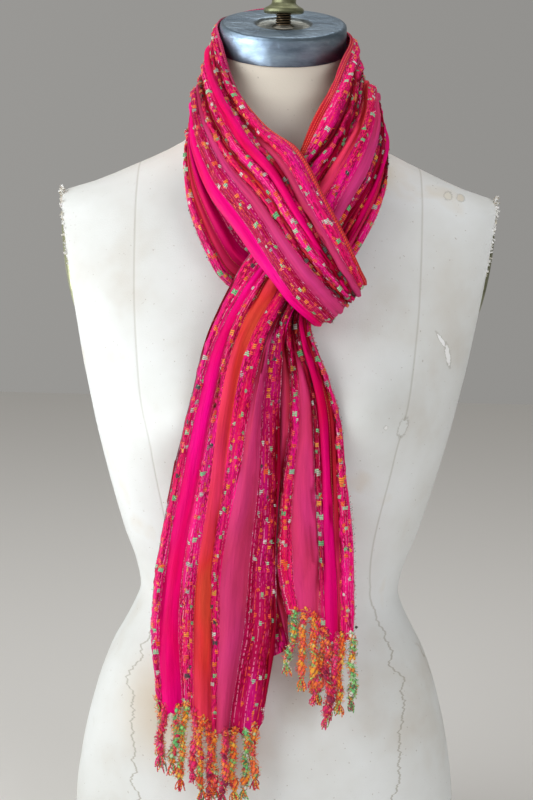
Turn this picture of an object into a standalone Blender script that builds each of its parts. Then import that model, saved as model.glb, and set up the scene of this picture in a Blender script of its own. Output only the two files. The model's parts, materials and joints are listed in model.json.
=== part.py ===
"""A long striped scarf, folded double and looped round the neck of a tabletop dress form.

Blender 4.5. Metres, +Z up, front towards -Y, origin at the middle of the form's flat base.
The tables below are in millimetres, as a maker would measure them, and MM turns them to metres.
"""

import math

import bmesh
import bpy
import numpy as np
from mathutils import Matrix, Vector
from mathutils.bvhtree import BVHTree

MM = 0.001

# The dress form, from its base to the top of its neck; lean is the tilt of the ring in degrees
FORM_COLUMNS = ("height", "half_width", "front", "back", "middle", "lean")
FORM_SECTIONS = (
    (0.0, 169.0, -101.0, 112.0, 6.0, 0.0),
    (50.0, 172.0, -106.0, 118.0, 6.0, 0.0),
    (100.0, 166.5, -106.0, 116.0, 6.0, 0.0),
    (150.0, 155.5, -101.0, 106.0, 6.0, 0.0),
    (190.0, 142.0, -95.0, 94.0, 5.0, 0.0),
    (225.0, 124.0, -87.0, 80.0, 4.0, 0.0),
    (248.0, 116.0, -84.0, 73.0, 3.0, 0.0),
    (270.0, 120.0, -86.0, 71.0, 2.0, 0.0),
    (300.0, 131.0, -91.0, 74.0, 1.0, 0.0),
    (350.0, 146.0, -100.0, 81.0, 1.0, 0.0),
    (400.0, 159.0, -107.0, 88.0, 2.0, 0.0),
    (440.0, 168.0, -108.0, 92.0, 4.0, 0.0),
    (480.0, 178.0, -104.0, 95.0, 6.0, 0.0),
    (520.0, 192.0, -96.0, 97.0, 8.0, 0.0),
    (560.0, 204.0, -86.0, 95.0, 9.0, 0.0),
    (585.0, 206.0, -78.0, 90.0, 9.0, 0.0),
    (597.0, 194.0, -73.0, 86.0, 9.0, 0.0),
    (609.0, 160.0, -68.0, 80.0, 8.0, 0.0),
    (624.0, 126.0, -63.0, 73.0, 7.0, 0.0),
    (636.0, 100.0, -60.0, 68.0, 5.0, 1.5),
    (648.0, 80.0, -58.0, 64.0, 3.0, 3.0),
    (662.0, 66.0, -57.0, 59.0, 1.0, 6.0),
    (682.0, 56.0, -56.0, 54.0, -1.0, 11.5),
    (702.0, 53.5, -55.5, 51.5, -2.0, 16.0),
)
FORM_RING_HEIGHTS = (
    0.0, 2.5, 50.0, 100.0, 150.0, 190.0, 222.0, 248.0, 275.0, 310.0, 350.0, 380.0, 402.0, 420.0, 438.0,
    460.0, 490.0, 525.0, 560.0, 582.0, 593.0, 602.0, 614.0, 628.0, 641.0, 654.0, 672.0, 700.0,
)
ROUNDNESS = 2.25
BASE_EDGE = 2.5
BUST_APART = 72.0
BUST_HEIGHT = 420.0
BUST_RISE = 27.0
BUST_SPREAD = 43.0
FORM_SIDES = 40
ARM_CUT_FOOT = (173.0, 480.0)
ARM_CUT_TOP = (189.5, 600.0)

# The sheet metal cap, which leans forward with the neck
CAP_LEAN = math.radians(16.0)
CAP_MIDDLE = (0.0, -11.0, 748.0)
CAP_RADIUS = 55.0
CAP_WALL = 1.2
CAP_SKIRT = 25.0
CAP_EDGE = 3.5
RECESS_RADIUS = 24.0
RECESS_DEPTH = 3.0
ROD_RADIUS = 7.0
ROD_HOLE = 9.5
ROD_TOP = 775.5
FIT = 0.35
NUT_FOOT = 756.0
NUT_HEIGHT = 24.0
NUT_BORE_DEPTH = 20.0
NUT_PROFILE = (
    (16.5, 0.0), (17.8, 2.0), (17.0, 4.5), (13.0, 6.5), (10.5, 8.5), (10.5, 18.0), (9.0, 21.5), (5.5, NUT_HEIGHT),
)
TURNED_STEPS = 36

# The arm plates
PLATE_HALF_HEIGHT = 50.0
PLATE_HALF_DEPTH = 29.0
PLATE_CROWN = 7.0
PLATE_SIDES = 28

# The cloth
CLOTH = 1.3
FORM_CLEAR = 1.1
LAYER_CLEAR = 1.8
SEAM = 1.2
FINE_STEP = 6.0
SOLID_STEP = 18.0

# A strand of the scarf runs through stations. Each is the line across the cloth from edge a to edge b,
# and crown is how far the middle stands out from that line.
STATION_COLUMNS = ("place", "ax", "ay", "az", "bx", "by", "bz", "crown")
OVER_STATIONS = (
    ("flap", 60, -109, 538, 22, -106, 502, 0.0),
    ("turn_in", 68, -113, 536, 29, -110, 498, 1.5),
    ("turn", 73, -128, 534, 33, -124, 496, 4.0),
    ("turn_out", 68, -142, 544, 28, -139, 501, 6.0),
    ("front_low", 54, -150, 573, 10, -150, 516, 8.0),
    ("front", 34, -147, 608, -11, -152, 543, 9.0),
    ("front_high", 13, -132, 642, -33, -145, 573, 8.0),
    ("collar", -13, -108, 661, -60, -124, 607, 8.0),
    ("collar_high", -33, -84, 683, -75, -96, 640, 7.0),
    ("left_front", -49, -50, 713, -78, -56, 668, 4.0),
    ("left", -57, -12, 744, -78, -5, 672, 1.5),
    ("left_back", -43, 34, 757, -66, 56, 674, 3.0),
    ("back", 0, 51, 764, 0, 84, 674, 4.0),
    ("right_back", 45, 34, 748, 69, 56, 670, 3.0),
    ("right", 60, -12, 735, 84, -5, 668, 2.0),
    ("right_front", 52, -46, 717, 82, -44, 675, 5.0),
    ("drop_side", 41, -74, 693, 87, -74, 652, 7.0),
    ("drop", 28, -97, 670, 78, -104, 619, 8.0),
    ("drop_low", 13, -113, 640, 56, -121, 583, 8.0),
    ("under", -6, -122, 603, 36, -128, 550, 7.0),
    ("knot", -20, -127, 562, 17, -131, 519, 6.0),
    ("tail_top", -33, -129, 541, 10, -134, 504, 6.0),
    ("tail_high", -54, -134, 496, 7, -138, 490, 7.0),
    ("tail_breast", -69, -138, 437, 4, -141, 439, 7.0),
    ("tail", -83, -137, 369, 5, -140, 372, 6.0),
    ("tail_low", -96, -134, 290, 4, -137, 302, 5.0),
    ("tail_hip", -99, -131, 233, 5, -135, 230, 4.0),
    ("hem", -93, -129, 185, -4, -133, 163, 3.0),
)
UNDER_STATIONS = (
    ("start", 60, -110.4, 538, 22, -107.4, 502, 0.0),
    ("behind", 31, -106, 557, -4, -105, 516, 2.0),
    ("under_knot", 3, -103, 581, -28, -103, 523, 3.0),
    ("corner", -18, -103, 602, -44, -106, 530, 4.0),
    ("low", -33, -104, 622, -60, -112, 557, 5.0),
    ("mid", -45, -96, 639, -74, -108, 591, 6.0),
    ("high", -55, -78, 654, -80, -88, 622, 6.0),
    ("left_front", -62, -48, 676, -80, -54, 644, 3.0),
    ("left", -60, -5, 702, -83, 0, 650, 2.0),
    ("left_back", -50, 48, 704, -70, 74, 634, 3.0),
    ("back", 0, 74, 706, 0, 97, 618, 4.0),
    ("right_back", 52, 50, 704, 74, 76, 634, 3.0),
    ("right", 66, -4, 700, 92, 0, 646, 2.0),
    ("right_front", 71, -42, 684, 91, -46, 647, 3.0),
    ("drop_side", 72, -68, 657, 91, -78, 627, 5.0),
    ("drop", 58, -92, 624, 84, -100, 597, 6.0),
    ("drop_low", 40, -106, 591, 67, -112, 562, 6.0),
    ("under", 19, -113, 549, 44, -117, 526, 5.0),
    ("knot", 2, -116, 517, 28, -120, 500, 4.0),
    ("tail_top", -3, -118, 492, 34, -125, 478, 4.0),
    ("tail_high", -4, -121, 466, 44, -131, 455, 5.0),
    ("tail_breast", -6, -124, 434, 52, -134, 431, 5.0),
    ("tail", -10, -124, 369, 62, -133, 367, 5.0),
    ("tail_low", -11, -122, 298, 69, -130, 309, 4.0),
    ("hem", -9, -120, 239, 72, -128, 257, 3.0),
)

# The stripes of each strand from edge a to edge b. Cloth is the stripe's width laid flat.
# At each place, share is how much of the strand's width the stripe shows (less than nothing where it is
# folded back behind) and lift is how far its middle stands out. Hem is how far its end hangs below the line.
OVER_PLACES = (
    ("turn", "turn"), ("band", "front"), ("high", "collar_high"), ("neck", "back"), ("drop", "drop"),
    ("knot", "knot"), ("tail", "tail_breast"), ("low", "tail_low"), ("hem", "hem"),
)
OVER_STRIPE_COLUMNS = (
    "stripe", "cloth", "turn", "band", "high", "neck", "drop", "knot", "tail", "low", "hem", "drop_of_hem",
)
OVER_STRIPES = (
    ("coral_edge", 10, (5, 0), (4, -1), (4, 0), (4, 0), (9, 0), (-4, -6), (-3, -6), (-3, -5), (-3, -4), 0),
    ("slub_1", 30, (9, -1), (17, 3), (13, 2), (11, 2), (18, 2), (-8, -6), (-7, -6), (-6, -5), (-6, -5), 0),
    ("mauve_1", 25, (12, 1), (9, 0), (3, -3), (9, 0), (2, -3), (-6, -4), (-6, -4), (-5, -4), (-5, -3), 2),
    ("slub_2", 25, (3, -1), (4, -2), (4, -1), (9, -2), (10, 1), (25, 2), (10, 2), (9, 1), (5, 1), 6),
    ("pink_1", 25, (3, -1), (9, 2), (15, 2), (9, 2), (2, -3), (10, -1), (17, -1), (14, 0), (20, 2), 11),
    ("slub_3", 30, (6, -1), (11, 1), (13, 1), (11, 0), (3, -3), (10, -1), (6, 3), (20, 3), (10, -2), 4),
    ("coral_2", 20, (3, -1), (3, -2), (3, -2), (8, -2), (9, 2), (22, 2), (16, 4), (17, 1), (18, 2), 11),
    ("slub_4", 25, (5, 0), (6, -1), (8, 0), (9, 1), (18, 2), (22, 1), (21, 0), (8, -3), (6, -2), 22),
    ("mauve_2", 25, (20, 1), (9, 2), (6, -1), (9, 0), (13, 1), (3, -3), (12, 4), (18, 3), (12, 2), 17),
    ("slub_5", 30, (22, 1), (19, 1), (18, 2), (11, 2), (6, -3), (8, 0), (20, -8), (25, -7), (32, -4), 14),
    ("pink_2", 25, (12, 0), (13, -2), (13, -1), (9, 0), (4, -1), (4, -1), (-3, -9), (-3, -9), (-3, -6), 3),
)
OVER_FOLD = 3
UNDER_PLACES = (
    ("behind", "corner"), ("neck", "back"), ("drop", "drop"), ("knot", "knot"),
    ("tail", "tail_breast"), ("low", "tail_low"), ("hem", "hem"),
)
UNDER_STRIPE_COLUMNS = ("stripe", "cloth", "behind", "neck", "drop", "knot", "tail", "low", "hem", "drop_of_hem")
UNDER_STRIPES = (
    ("slub_a", 30, (10, 1), (14, 1), (14, 1), (18, 1), (18, -2), (8, -2), (25, -3), 28),
    ("rose_a", 25, (8, -2), (12, 0), (10, -2), (5, -3), (14, 0), (8, -1), (-3, -5), 10),
    ("slub_b", 25, (8, 1), (12, -1), (14, 2), (20, 1), (13, 3), (24, 2), (20, 2), -15),
    ("rose_b", 25, (8, -1), (12, 1), (10, -2), (5, -3), (10, 1), (20, 2), (18, 1), -9),
    ("slub_c", 25, (15, 0), (12, -1), (12, 1), (12, 1), (5, -3), (7, -2), (8, -1), 8),
    ("pink_c", 25, (15, 2), (12, 1), (14, 2), (18, 2), (14, 3), (12, 2), (12, 2), 15),
    ("coral_c", 20, (11, 0), (11, -1), (8, -2), (6, -2), (4, -3), (3, -2), (4, -2), 18),
    ("slub_d", 30, (10, 0), (14, 0), (14, 0), (16, 0), (9, 0), (15, 0), (14, 0), 19),
)
UNDER_FOLD = 0
HEM_RAMP = 70.0
HEM_CREASE = 1.0

# The pieces a strand is cut into, named from one place to the next
OVER_PIECES = (
    ("loop_over_band", "flap", "left_front"),
    ("wrap_upper", "left_front", "right_front"),
    ("drop_upper", "right_front", "knot"),
    ("long_tail", "knot", "hem"),
)
UNDER_PIECES = (
    ("loop_under_band", "start", "left_front"),
    ("wrap_lower", "left_front", "right_front"),
    ("drop_lower", "right_front", "knot"),
    ("short_tail", "knot", "hem"),
)

# The fringe. At is where a strand hangs along the hem, from 0 at edge a to 1 at edge b.
FRINGE_COLUMNS = ("at", "length", "sideways", "forward")
LONG_FRINGE = (
    (0.045, 68, 2, 1), (0.125, 56, -6, 2), (0.20, 62, -3, 0), (0.275, 78, -4, 2), (0.35, 66, -2, 1),
    (0.425, 76, 1, 0), (0.50, 76, 2, 2), (0.575, 62, 1, 1), (0.65, 68, 0, 2), (0.725, 66, 0, 0),
    (0.80, 64, 0, 1), (0.875, 62, 2, 2),
)
SHORT_FRINGE = (
    (0.06, 60, 1, 0), (0.18, 72, 1, 1), (0.29, 68, 2, 2), (0.40, 76, 0, 1), (0.51, 70, -2, 0),
    (0.62, 78, 3, 1), (0.73, 84, -5, 2), (0.84, 72, -2, 1), (0.95, 70, 2, 0),
)
OVER_FRINGE_FROM = 4
UNDER_FRINGE_FROM = 3
HEM_GAP = 1.3
BACKING_DROP = 3.0
BACKING_THICK = 1.2
STRAND_ROOT = 3.4
STRAND_THICK = 4.4
STRAND_TIP = 2.6


def through(positions, values, at):
    """A smooth curve through rows of values that does not overshoot them."""
    positions = np.asarray(positions, float)
    values = np.asarray(values, float)
    step = np.diff(positions)
    slope = np.diff(values, axis=0) / step.reshape((-1,) + (1,) * (values.ndim - 1))
    tangent = np.zeros_like(values)
    product = slope[1:] * slope[:-1]
    total = np.where(product > 0, slope[1:] + slope[:-1], 1.0)
    tangent[1:-1] = np.where(product > 0, 2 * product / total, 0.0)
    tangent[0] = slope[0]
    tangent[-1] = slope[-1]
    return hermite(positions, values, tangent, at)


def flowing(positions, values, at):
    """A rounder curve through rows, for the run of the cloth."""
    positions = np.asarray(positions, float)
    values = np.asarray(values, float)
    return hermite(positions, values, np.gradient(values, positions, axis=0), at)


def hermite(positions, values, tangent, at):
    """Cubic pieces between rows that have the given tangents."""
    at = np.clip(np.asarray(at, float), positions[0], positions[-1])
    k = np.clip(np.searchsorted(positions, at, side="right") - 1, 0, len(positions) - 2)
    shape = (-1,) + (1,) * (values.ndim - 1)
    span = (positions[k + 1] - positions[k]).reshape(shape)
    t = (at - positions[k]).reshape(shape) / span
    a = values[k] * (2 * t**3 - 3 * t**2 + 1) + values[k + 1] * (3 * t**2 - 2 * t**3)
    b = tangent[k] * (t**3 - 2 * t**2 + t) + tangent[k + 1] * (t**3 - t**2)
    return a + span * b


def unit(v):
    """The same directions with a length of one."""
    return v / np.maximum(np.linalg.norm(v, axis=-1, keepdims=True), 1e-9)


def form_section(height):
    """The form's half width, front, back, middle and lean at one or more heights."""
    rows = np.array(FORM_SECTIONS)
    return through(rows[:, 0], rows[:, 1:], np.atleast_1d(height))


def bust(x, z):
    """How far the bust stands forward of the plain section."""
    reach = (np.abs(x) - BUST_APART) ** 2 + (z - BUST_HEIGHT) ** 2
    return BUST_RISE * np.exp(-reach / BUST_SPREAD**2)


def form_level(points):
    """One on the form's skin, more outside it, less inside it."""
    x, y, z = points[:, 0], points[:, 1], points[:, 2]
    lean = np.tan(np.radians(form_section(z)[:, 4]))
    level = z - (y - form_section(z)[:, 3]) * lean
    half, front, back, middle, _ = form_section(level).T
    y = np.where(y < middle, np.minimum(y + bust(x, z), middle), y)
    depth = np.where(y < middle, middle - front, back - middle)
    power = (np.abs(x) / half) ** ROUNDNESS + (np.abs(y - middle) / depth) ** ROUNDNESS
    return power ** (1 / ROUNDNESS)


def off_the_form(points, gap):
    """Points moved out to stand at least this gap from the form, its neck and its cap."""
    flat = points.reshape(-1, 3).copy()
    for _ in range(6):
        level = form_level(flat)
        slope = np.stack([(form_level(flat + 0.4 * axis) - level) / 0.4 for axis in np.eye(3)], axis=1)
        steep = np.maximum(np.linalg.norm(slope, axis=1), 1e-6)
        short = np.clip(gap - (level - 1) / steep, 0, 12)
        flat += (short / steep)[:, None] * slope
    axis = np.array((0.0, -math.sin(CAP_LEAN), math.cos(CAP_LEAN)))
    along = (flat - CAP_MIDDLE) @ axis
    out = flat - np.array(CAP_MIDDLE) - along[:, None] * axis
    radius = np.linalg.norm(out, axis=1)
    near = np.clip((along + CAP_SKIRT + 16) / 10, 0, 1)
    short = np.clip(CAP_RADIUS + gap - radius, 0, 20) * near
    flat += out / np.maximum(radius, 1e-6)[:, None] * short[:, None]
    return flat.reshape(points.shape)


def spread(field, reach):
    """The greatest push within reach, then softened, so a whole patch of cloth moves together."""
    for axis in (0, 1):
        wide = field
        for k in range(1, reach + 1):
            for way in (-k, k):
                moved = np.roll(field, way, axis)
                edge = [slice(None), slice(None)]
                edge[axis] = slice(0, k) if way > 0 else slice(-k, None)
                moved[tuple(edge)] = field[tuple(edge)]
                wide = np.maximum(wide, moved)
        field = wide
    for axis in (0, 1, 0, 1):
        ends = np.concatenate([field.take([0], axis), field, field.take([-1], axis)], axis)
        count = field.shape[axis]
        field = sum(ends.take(range(k, k + count), axis) for k in range(3)) / 3
    return field


def over_the_layers(points, outward, layers, gap):
    """Cloth lifted outward until it lies over every earlier layer."""
    push = np.zeros(points.shape[:2])
    reach = 45.0
    for i in range(points.shape[0]):
        way = Vector(outward[i])
        for j in range(points.shape[1]):
            start = Vector(points[i, j]) + way * reach
            for tree in layers:
                hit = tree.ray_cast(start, -way, reach + 14.0)
                if hit[0] is not None:
                    push[i, j] = max(push[i, j], reach - hit[3] + gap)
    return points + spread(push, 2)[..., None] * outward[:, None, :]


class Strand:
    """One half of the folded scarf as a smooth cloth: places along it, stripes across it."""

    def __init__(self, stations, places, stripes, fold):
        names = [row[0] for row in stations]
        rows = np.array([row[1:] for row in stations], float)
        middle = (rows[:, 0:3] + rows[:, 3:6]) / 2
        step = np.linalg.norm(np.diff(middle, axis=0), axis=1)
        width = np.linalg.norm(rows[:, 3:6] - rows[:, 0:3], axis=1)
        step = np.maximum(step, 0.15 * (width[1:] + width[:-1]) / 2)
        self.along = np.concatenate([[0.0], np.cumsum(step)])
        self.rows = rows
        self.at_place = dict(zip(names, self.along))
        self.fold = fold
        cloth = np.array([row[1] for row in stripes], float)
        ends = np.concatenate([[0.0], np.cumsum(cloth)])
        self.across = np.sort(np.concatenate([ends, (ends[1:] + ends[:-1]) / 2]))
        self.place_at = [self.at_place[where] for _, where in places]
        self.profile = np.array([self.folds([row[2 + k] for row in stripes]) for k in range(len(places))])
        drop = np.array([row[-1] for row in stripes], float)
        self.hem_drop = self.by_line(drop, 0.0)

    def by_line(self, middle, crease):
        """Values at stripe edges and middles in turn; an edge lies between its neighbours."""
        edge = np.concatenate([middle[:1], np.minimum(middle[1:], middle[:-1]) * 0.5
                               + (middle[1:] + middle[:-1]) * 0.25, middle[-1:]]) - crease
        line = np.zeros(2 * len(middle) + 1)
        line[0::2] = edge
        line[1::2] = middle
        return line

    def folds(self, pairs):
        """Where each line lies across the strand, from 0 to 1, and how far it stands out."""
        share = np.array([pair[0] for pair in pairs], float)
        lift = np.array([pair[1] for pair in pairs], float)
        ends = np.concatenate([[0.0], np.cumsum(share)])
        line = np.zeros(2 * len(share) + 1)
        line[0::2] = ends
        line[1::2] = (ends[1:] + ends[:-1]) / 2
        line = (line - line.min()) / (line.max() - line.min())
        return np.stack([line, self.by_line(lift, HEM_CREASE)], axis=1)

    def surface(self, along, lines):
        """Points of the outer face and the outward directions, before it is laid over the rest."""
        row = flowing(self.along, self.rows, along)
        a, b, crown = row[:, 0:3], row[:, 3:6], row[:, 6]
        middle = (a + b) / 2
        travel = unit(np.gradient(middle, along, axis=0))
        outward = unit(np.cross(travel, unit(b - a)))
        profile = through(self.place_at, self.profile, along)[:, lines, :]
        where = profile[..., 0]
        lift = profile[..., 1] + crown[:, None] * (1 - np.abs(2 * where - 1) ** 3)
        points = a[:, None] + where[..., None] * (b - a)[:, None] + lift[..., None] * outward[:, None]
        ramp = np.clip((along - self.along[-1] + HEM_RAMP) / HEM_RAMP, 0, 1) ** 2
        points[..., 2] -= ramp[:, None] * self.hem_drop[lines][None, :]
        return points, outward


def clear_scene():
    """An empty scene to build in."""
    for thing in list(bpy.data.objects):
        bpy.data.objects.remove(thing, do_unlink=True)
    for mesh in list(bpy.data.meshes):
        bpy.data.meshes.remove(mesh)


def new_collection(name):
    group = bpy.data.collections.new(name)
    bpy.context.scene.collection.children.link(group)
    return group


def paint(name, colour, metallic, roughness):
    """A plain Principled material."""
    material = bpy.data.materials.new(name)
    material.use_nodes = True
    shader = material.node_tree.nodes["Principled BSDF"]
    shader.inputs["Base Color"].default_value = (*colour, 1.0)
    shader.inputs["Metallic"].default_value = metallic
    shader.inputs["Roughness"].default_value = roughness
    return material


def new_object(name, points, faces, group, material=None):
    """A mesh object from points in millimetres."""
    mesh = bpy.data.meshes.new(name)
    mesh.from_pydata([tuple(float(v) * MM for v in p) for p in points], [], faces)
    thing = bpy.data.objects.new(name, mesh)
    group.objects.link(thing)
    if material is not None:
        mesh.materials.append(material)
    for polygon in mesh.polygons:
        polygon.use_smooth = True
    return thing


def grid_faces(rows, columns, closed=False):
    """Quads of a grid, joined round when closed."""
    last = columns if closed else columns - 1
    return [(i * columns + j, i * columns + (j + 1) % columns, (i + 1) * columns + (j + 1) % columns,
             (i + 1) * columns + j) for i in range(rows - 1) for j in range(last)]


def form_ring(height, inset=0.0):
    """One ring of the form's skin."""
    half, front, back, middle, lean = form_section(height)[0]
    ring = []
    for k in range(FORM_SIDES):
        turn = 2 * math.pi * k / FORM_SIDES
        c, s = math.cos(turn), math.sin(turn)
        x = (half - inset) * math.copysign(abs(c) ** (2 / ROUNDNESS), c)
        depth = (back - middle if s > 0 else middle - front) - inset
        y = depth * math.copysign(abs(s) ** (2 / ROUNDNESS), s)
        z = height + y * math.tan(math.radians(lean))
        y += middle
        if s < 0:
            y -= bust(x, z) * min(1.0, abs(s) * 3)
        ring.append((x, y, z))
    return ring


def cap_ring(radius, below):
    """One ring square to the leaning cap's axis."""
    lean = Matrix.Rotation(CAP_LEAN, 3, "X")
    ring = []
    for k in range(FORM_SIDES):
        turn = 2 * math.pi * k / FORM_SIDES
        point = lean @ Vector((radius * math.cos(turn), radius * math.sin(turn), -below))
        ring.append(tuple(point + Vector(CAP_MIDDLE)))
    return ring


def build_torso(group, tools, material):
    """The form: a loft up to its neck, with the armholes cut off flat."""
    rings = [form_ring(0.0, BASE_EDGE)] + [form_ring(h) for h in FORM_RING_HEIGHTS[1:]]
    plug = CAP_RADIUS - CAP_WALL - FIT
    plug_top = RECESS_DEPTH + CAP_WALL + FIT
    rings.append(cap_ring(plug, CAP_SKIRT + 6.0))
    rings.append(cap_ring(plug, CAP_EDGE + CAP_WALL + 1.0))
    rings.append(cap_ring(plug - 3.0, plug_top))
    points = [p for ring in rings for p in ring]
    faces = grid_faces(len(rings), FORM_SIDES, closed=True)
    faces.append(tuple(reversed(range(FORM_SIDES))))
    faces.append(tuple(range(len(points) - FORM_SIDES, len(points))))
    torso = new_object("torso", points, faces, group, material)
    for side, name in ((-1, "left"), (1, "right")):
        middle, turn = arm_plane(side)
        bpy.ops.mesh.primitive_cube_add(size=1.0)
        block = bpy.context.object
        block.name = "armhole_cutter_" + name
        block.scale = (120 * MM, 300 * MM, 300 * MM)
        block.rotation_euler = (0, turn, 0)
        block.location = middle * MM + Matrix.Rotation(turn, 3, "Y") @ Vector((side * 60 * MM, 0, 0))
        move_to(block, tools)
        cut = torso.modifiers.new("armhole_" + name, "BOOLEAN")
        cut.operation = "DIFFERENCE"
        cut.solver = "EXACT"
        cut.object = block
    return torso


def arm_plane(side):
    """The middle of the flat at an armhole, and its tilt about Y."""
    foot, top = ARM_CUT_FOOT, ARM_CUT_TOP
    middle = Vector((side * (foot[0] + top[0]) / 2, 4.0, (foot[1] + top[1]) / 2))
    return middle, side * math.atan2(top[0] - foot[0], top[1] - foot[1])


def move_to(thing, group):
    """Keeps an object in one collection only; a tool is hidden and drawn as wire."""
    for other in list(thing.users_collection):
        other.objects.unlink(thing)
    group.objects.link(thing)
    if group.name == "tools":
        thing.hide_render = True
        thing.display_type = "WIRE"


def build_arm_plate(side, name, group, material):
    """A shallow oval dome that closes an armhole, pressed from sheet."""
    middle, turn = arm_plane(side)
    frame = Matrix.Rotation(turn, 3, "Y")
    rings = ((1.0, FIT), (1.0, FIT + 1.2), (0.86, 0.5 * PLATE_CROWN), (0.55, 0.86 * PLATE_CROWN), (0.2, PLATE_CROWN))
    points = []
    for size, rise in rings:
        for k in range(PLATE_SIDES):
            angle = 2 * math.pi * k / PLATE_SIDES
            y = PLATE_HALF_DEPTH * size * math.cos(angle)
            z = PLATE_HALF_HEIGHT * size * math.sin(angle)
            points.append(tuple(middle + frame @ Vector((side * rise, y, z))))
    faces = grid_faces(len(rings), PLATE_SIDES, closed=True)
    faces.append(tuple(reversed(range(PLATE_SIDES))))
    faces.append(tuple(range(len(points) - PLATE_SIDES, len(points))))
    return facing_out(new_object(name, points, faces, group, material))


def facing_out(thing):
    """Turns every face of a closed body outward."""
    shape = bmesh.new()
    shape.from_mesh(thing.data)
    bmesh.ops.recalc_face_normals(shape, faces=shape.faces)
    shape.to_mesh(thing.data)
    shape.free()
    return thing


def turned(name, profile, group, material):
    """A body of revolution from a closed profile of (radius, height) in millimetres."""
    points = [(r, 0.0, h) for r, h in profile]
    count = len(points)
    mesh = bpy.data.meshes.new(name)
    closed = profile[0][0] > 0
    edges = [(k, (k + 1) % count) for k in range(count if closed else count - 1)]
    mesh.from_pydata([tuple(v * MM for v in p) for p in points], edges, [])
    mesh.materials.append(material)
    thing = bpy.data.objects.new(name, mesh)
    group.objects.link(thing)
    screw = thing.modifiers.new("turn", "SCREW")
    screw.steps = TURNED_STEPS
    screw.render_steps = TURNED_STEPS
    screw.use_merge_vertices = True
    screw.merge_threshold = 1e-5
    screw.use_normal_calculate = True
    return thing


def build_cap(group, material):
    """The pressed cap: a sunk middle with the rod's hole, a rounded edge and a skirt."""
    edge = CAP_EDGE
    inner = CAP_RADIUS - CAP_WALL
    profile = (
        (ROD_HOLE, -RECESS_DEPTH), (RECESS_RADIUS - 1.0, -RECESS_DEPTH), (RECESS_RADIUS + 1.0, 0.0),
        (CAP_RADIUS - edge, 0.0), (CAP_RADIUS - 0.3 * edge, -0.3 * edge), (CAP_RADIUS, -edge),
        (CAP_RADIUS, -CAP_SKIRT), (inner, -CAP_SKIRT), (inner, -edge - 0.3),
        (inner - 0.3 * edge, -0.3 * edge - CAP_WALL + 0.2), (CAP_RADIUS - edge, -CAP_WALL),
        (RECESS_RADIUS + 0.4, -CAP_WALL), (RECESS_RADIUS - 1.6, -RECESS_DEPTH - CAP_WALL),
        (ROD_HOLE, -RECESS_DEPTH - CAP_WALL),
    )
    cap = turned("neck_cap", profile, group, material)
    cap.rotation_euler = (CAP_LEAN, 0, 0)
    cap.location = Vector(CAP_MIDDLE) * MM
    return cap


def build_rod_and_nut(group, steel, brass):
    """The upright rod through the cap and the flanged nut on its end."""
    below = RECESS_DEPTH + CAP_WALL + FIT
    foot = CAP_MIDDLE[2] - below * math.cos(CAP_LEAN) + ROD_RADIUS * math.tan(CAP_LEAN) + FIT
    place = Vector((0.0, CAP_MIDDLE[1] + below * math.sin(CAP_LEAN), 0.0)) * MM
    rod_profile = ((0.0, foot), (ROD_RADIUS, foot), (ROD_RADIUS, ROD_TOP - 0.6), (ROD_RADIUS - 0.6, ROD_TOP), (0.0, ROD_TOP))
    rod = turned("threaded_rod", rod_profile, group, steel)
    bore = ROD_RADIUS + FIT
    nut_profile = [(0.0, NUT_FOOT + NUT_HEIGHT)]
    nut_profile += [(r, NUT_FOOT + h) for r, h in reversed(NUT_PROFILE)]
    nut_profile += [(bore, NUT_FOOT), (bore, NUT_FOOT + NUT_BORE_DEPTH), (0.0, NUT_FOOT + NUT_BORE_DEPTH)]
    nut = turned("clamp_nut", nut_profile, group, brass)
    rod.location = place
    nut.location = place


def laid_surface(strand, layers):
    """The strand laid over the form and over the layers already there, on a fine grid."""
    count = int(strand.along[-1] / FINE_STEP)
    along = np.unique(np.concatenate([np.linspace(0, strand.along[-1], count), strand.along]))
    lines = np.arange(len(strand.across))
    points, outward = strand.surface(along, lines)
    points = off_the_form(points, CLOTH + FORM_CLEAR)
    points = over_the_layers(points, outward, layers, CLOTH + LAYER_CLEAR)
    return along, points


def as_tree(points):
    """The grid as something a ray can meet."""
    rows, columns = points.shape[:2]
    corners = [tuple(float(v) for v in p) for p in points.reshape(-1, 3)]
    return BVHTree.FromPolygons(corners, grid_faces(rows, columns))


def build_pieces(strand, pieces, along, points, group, materials):
    """Cuts the laid strand into its pieces and gives each the cloth's thickness."""
    keep = sorted({0, len(strand.across) - 1, 2 * strand.fold, *range(1, len(strand.across), 2)})
    made = {}
    for name, start, end in pieces:
        first = strand.at_place[start] + SEAM / 2
        last = strand.at_place[end] - (0 if end == "hem" else SEAM / 2)
        stops = [s for s in strand.along if first < s < last]
        stops = np.array([first, *stops, last])
        cuts = [first]
        for a, b in zip(stops[:-1], stops[1:]):
            parts = max(1, round((b - a) / SOLID_STEP))
            cuts.extend(a + (b - a) * (k + 1) / parts for k in range(parts))
        sheet = through(along, points, cuts)[:, keep]
        rows, columns = sheet.shape[:2]
        faces = [tuple(reversed(face)) for face in grid_faces(rows, columns)]
        thing = new_object(name, sheet.reshape(-1, 3), faces, group, materials[name])
        wall = thing.modifiers.new("cloth", "SOLIDIFY")
        wall.thickness = CLOTH * MM
        wall.offset = -1.0
        wall.use_even_offset = False
        made[name] = sheet
    return made


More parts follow.
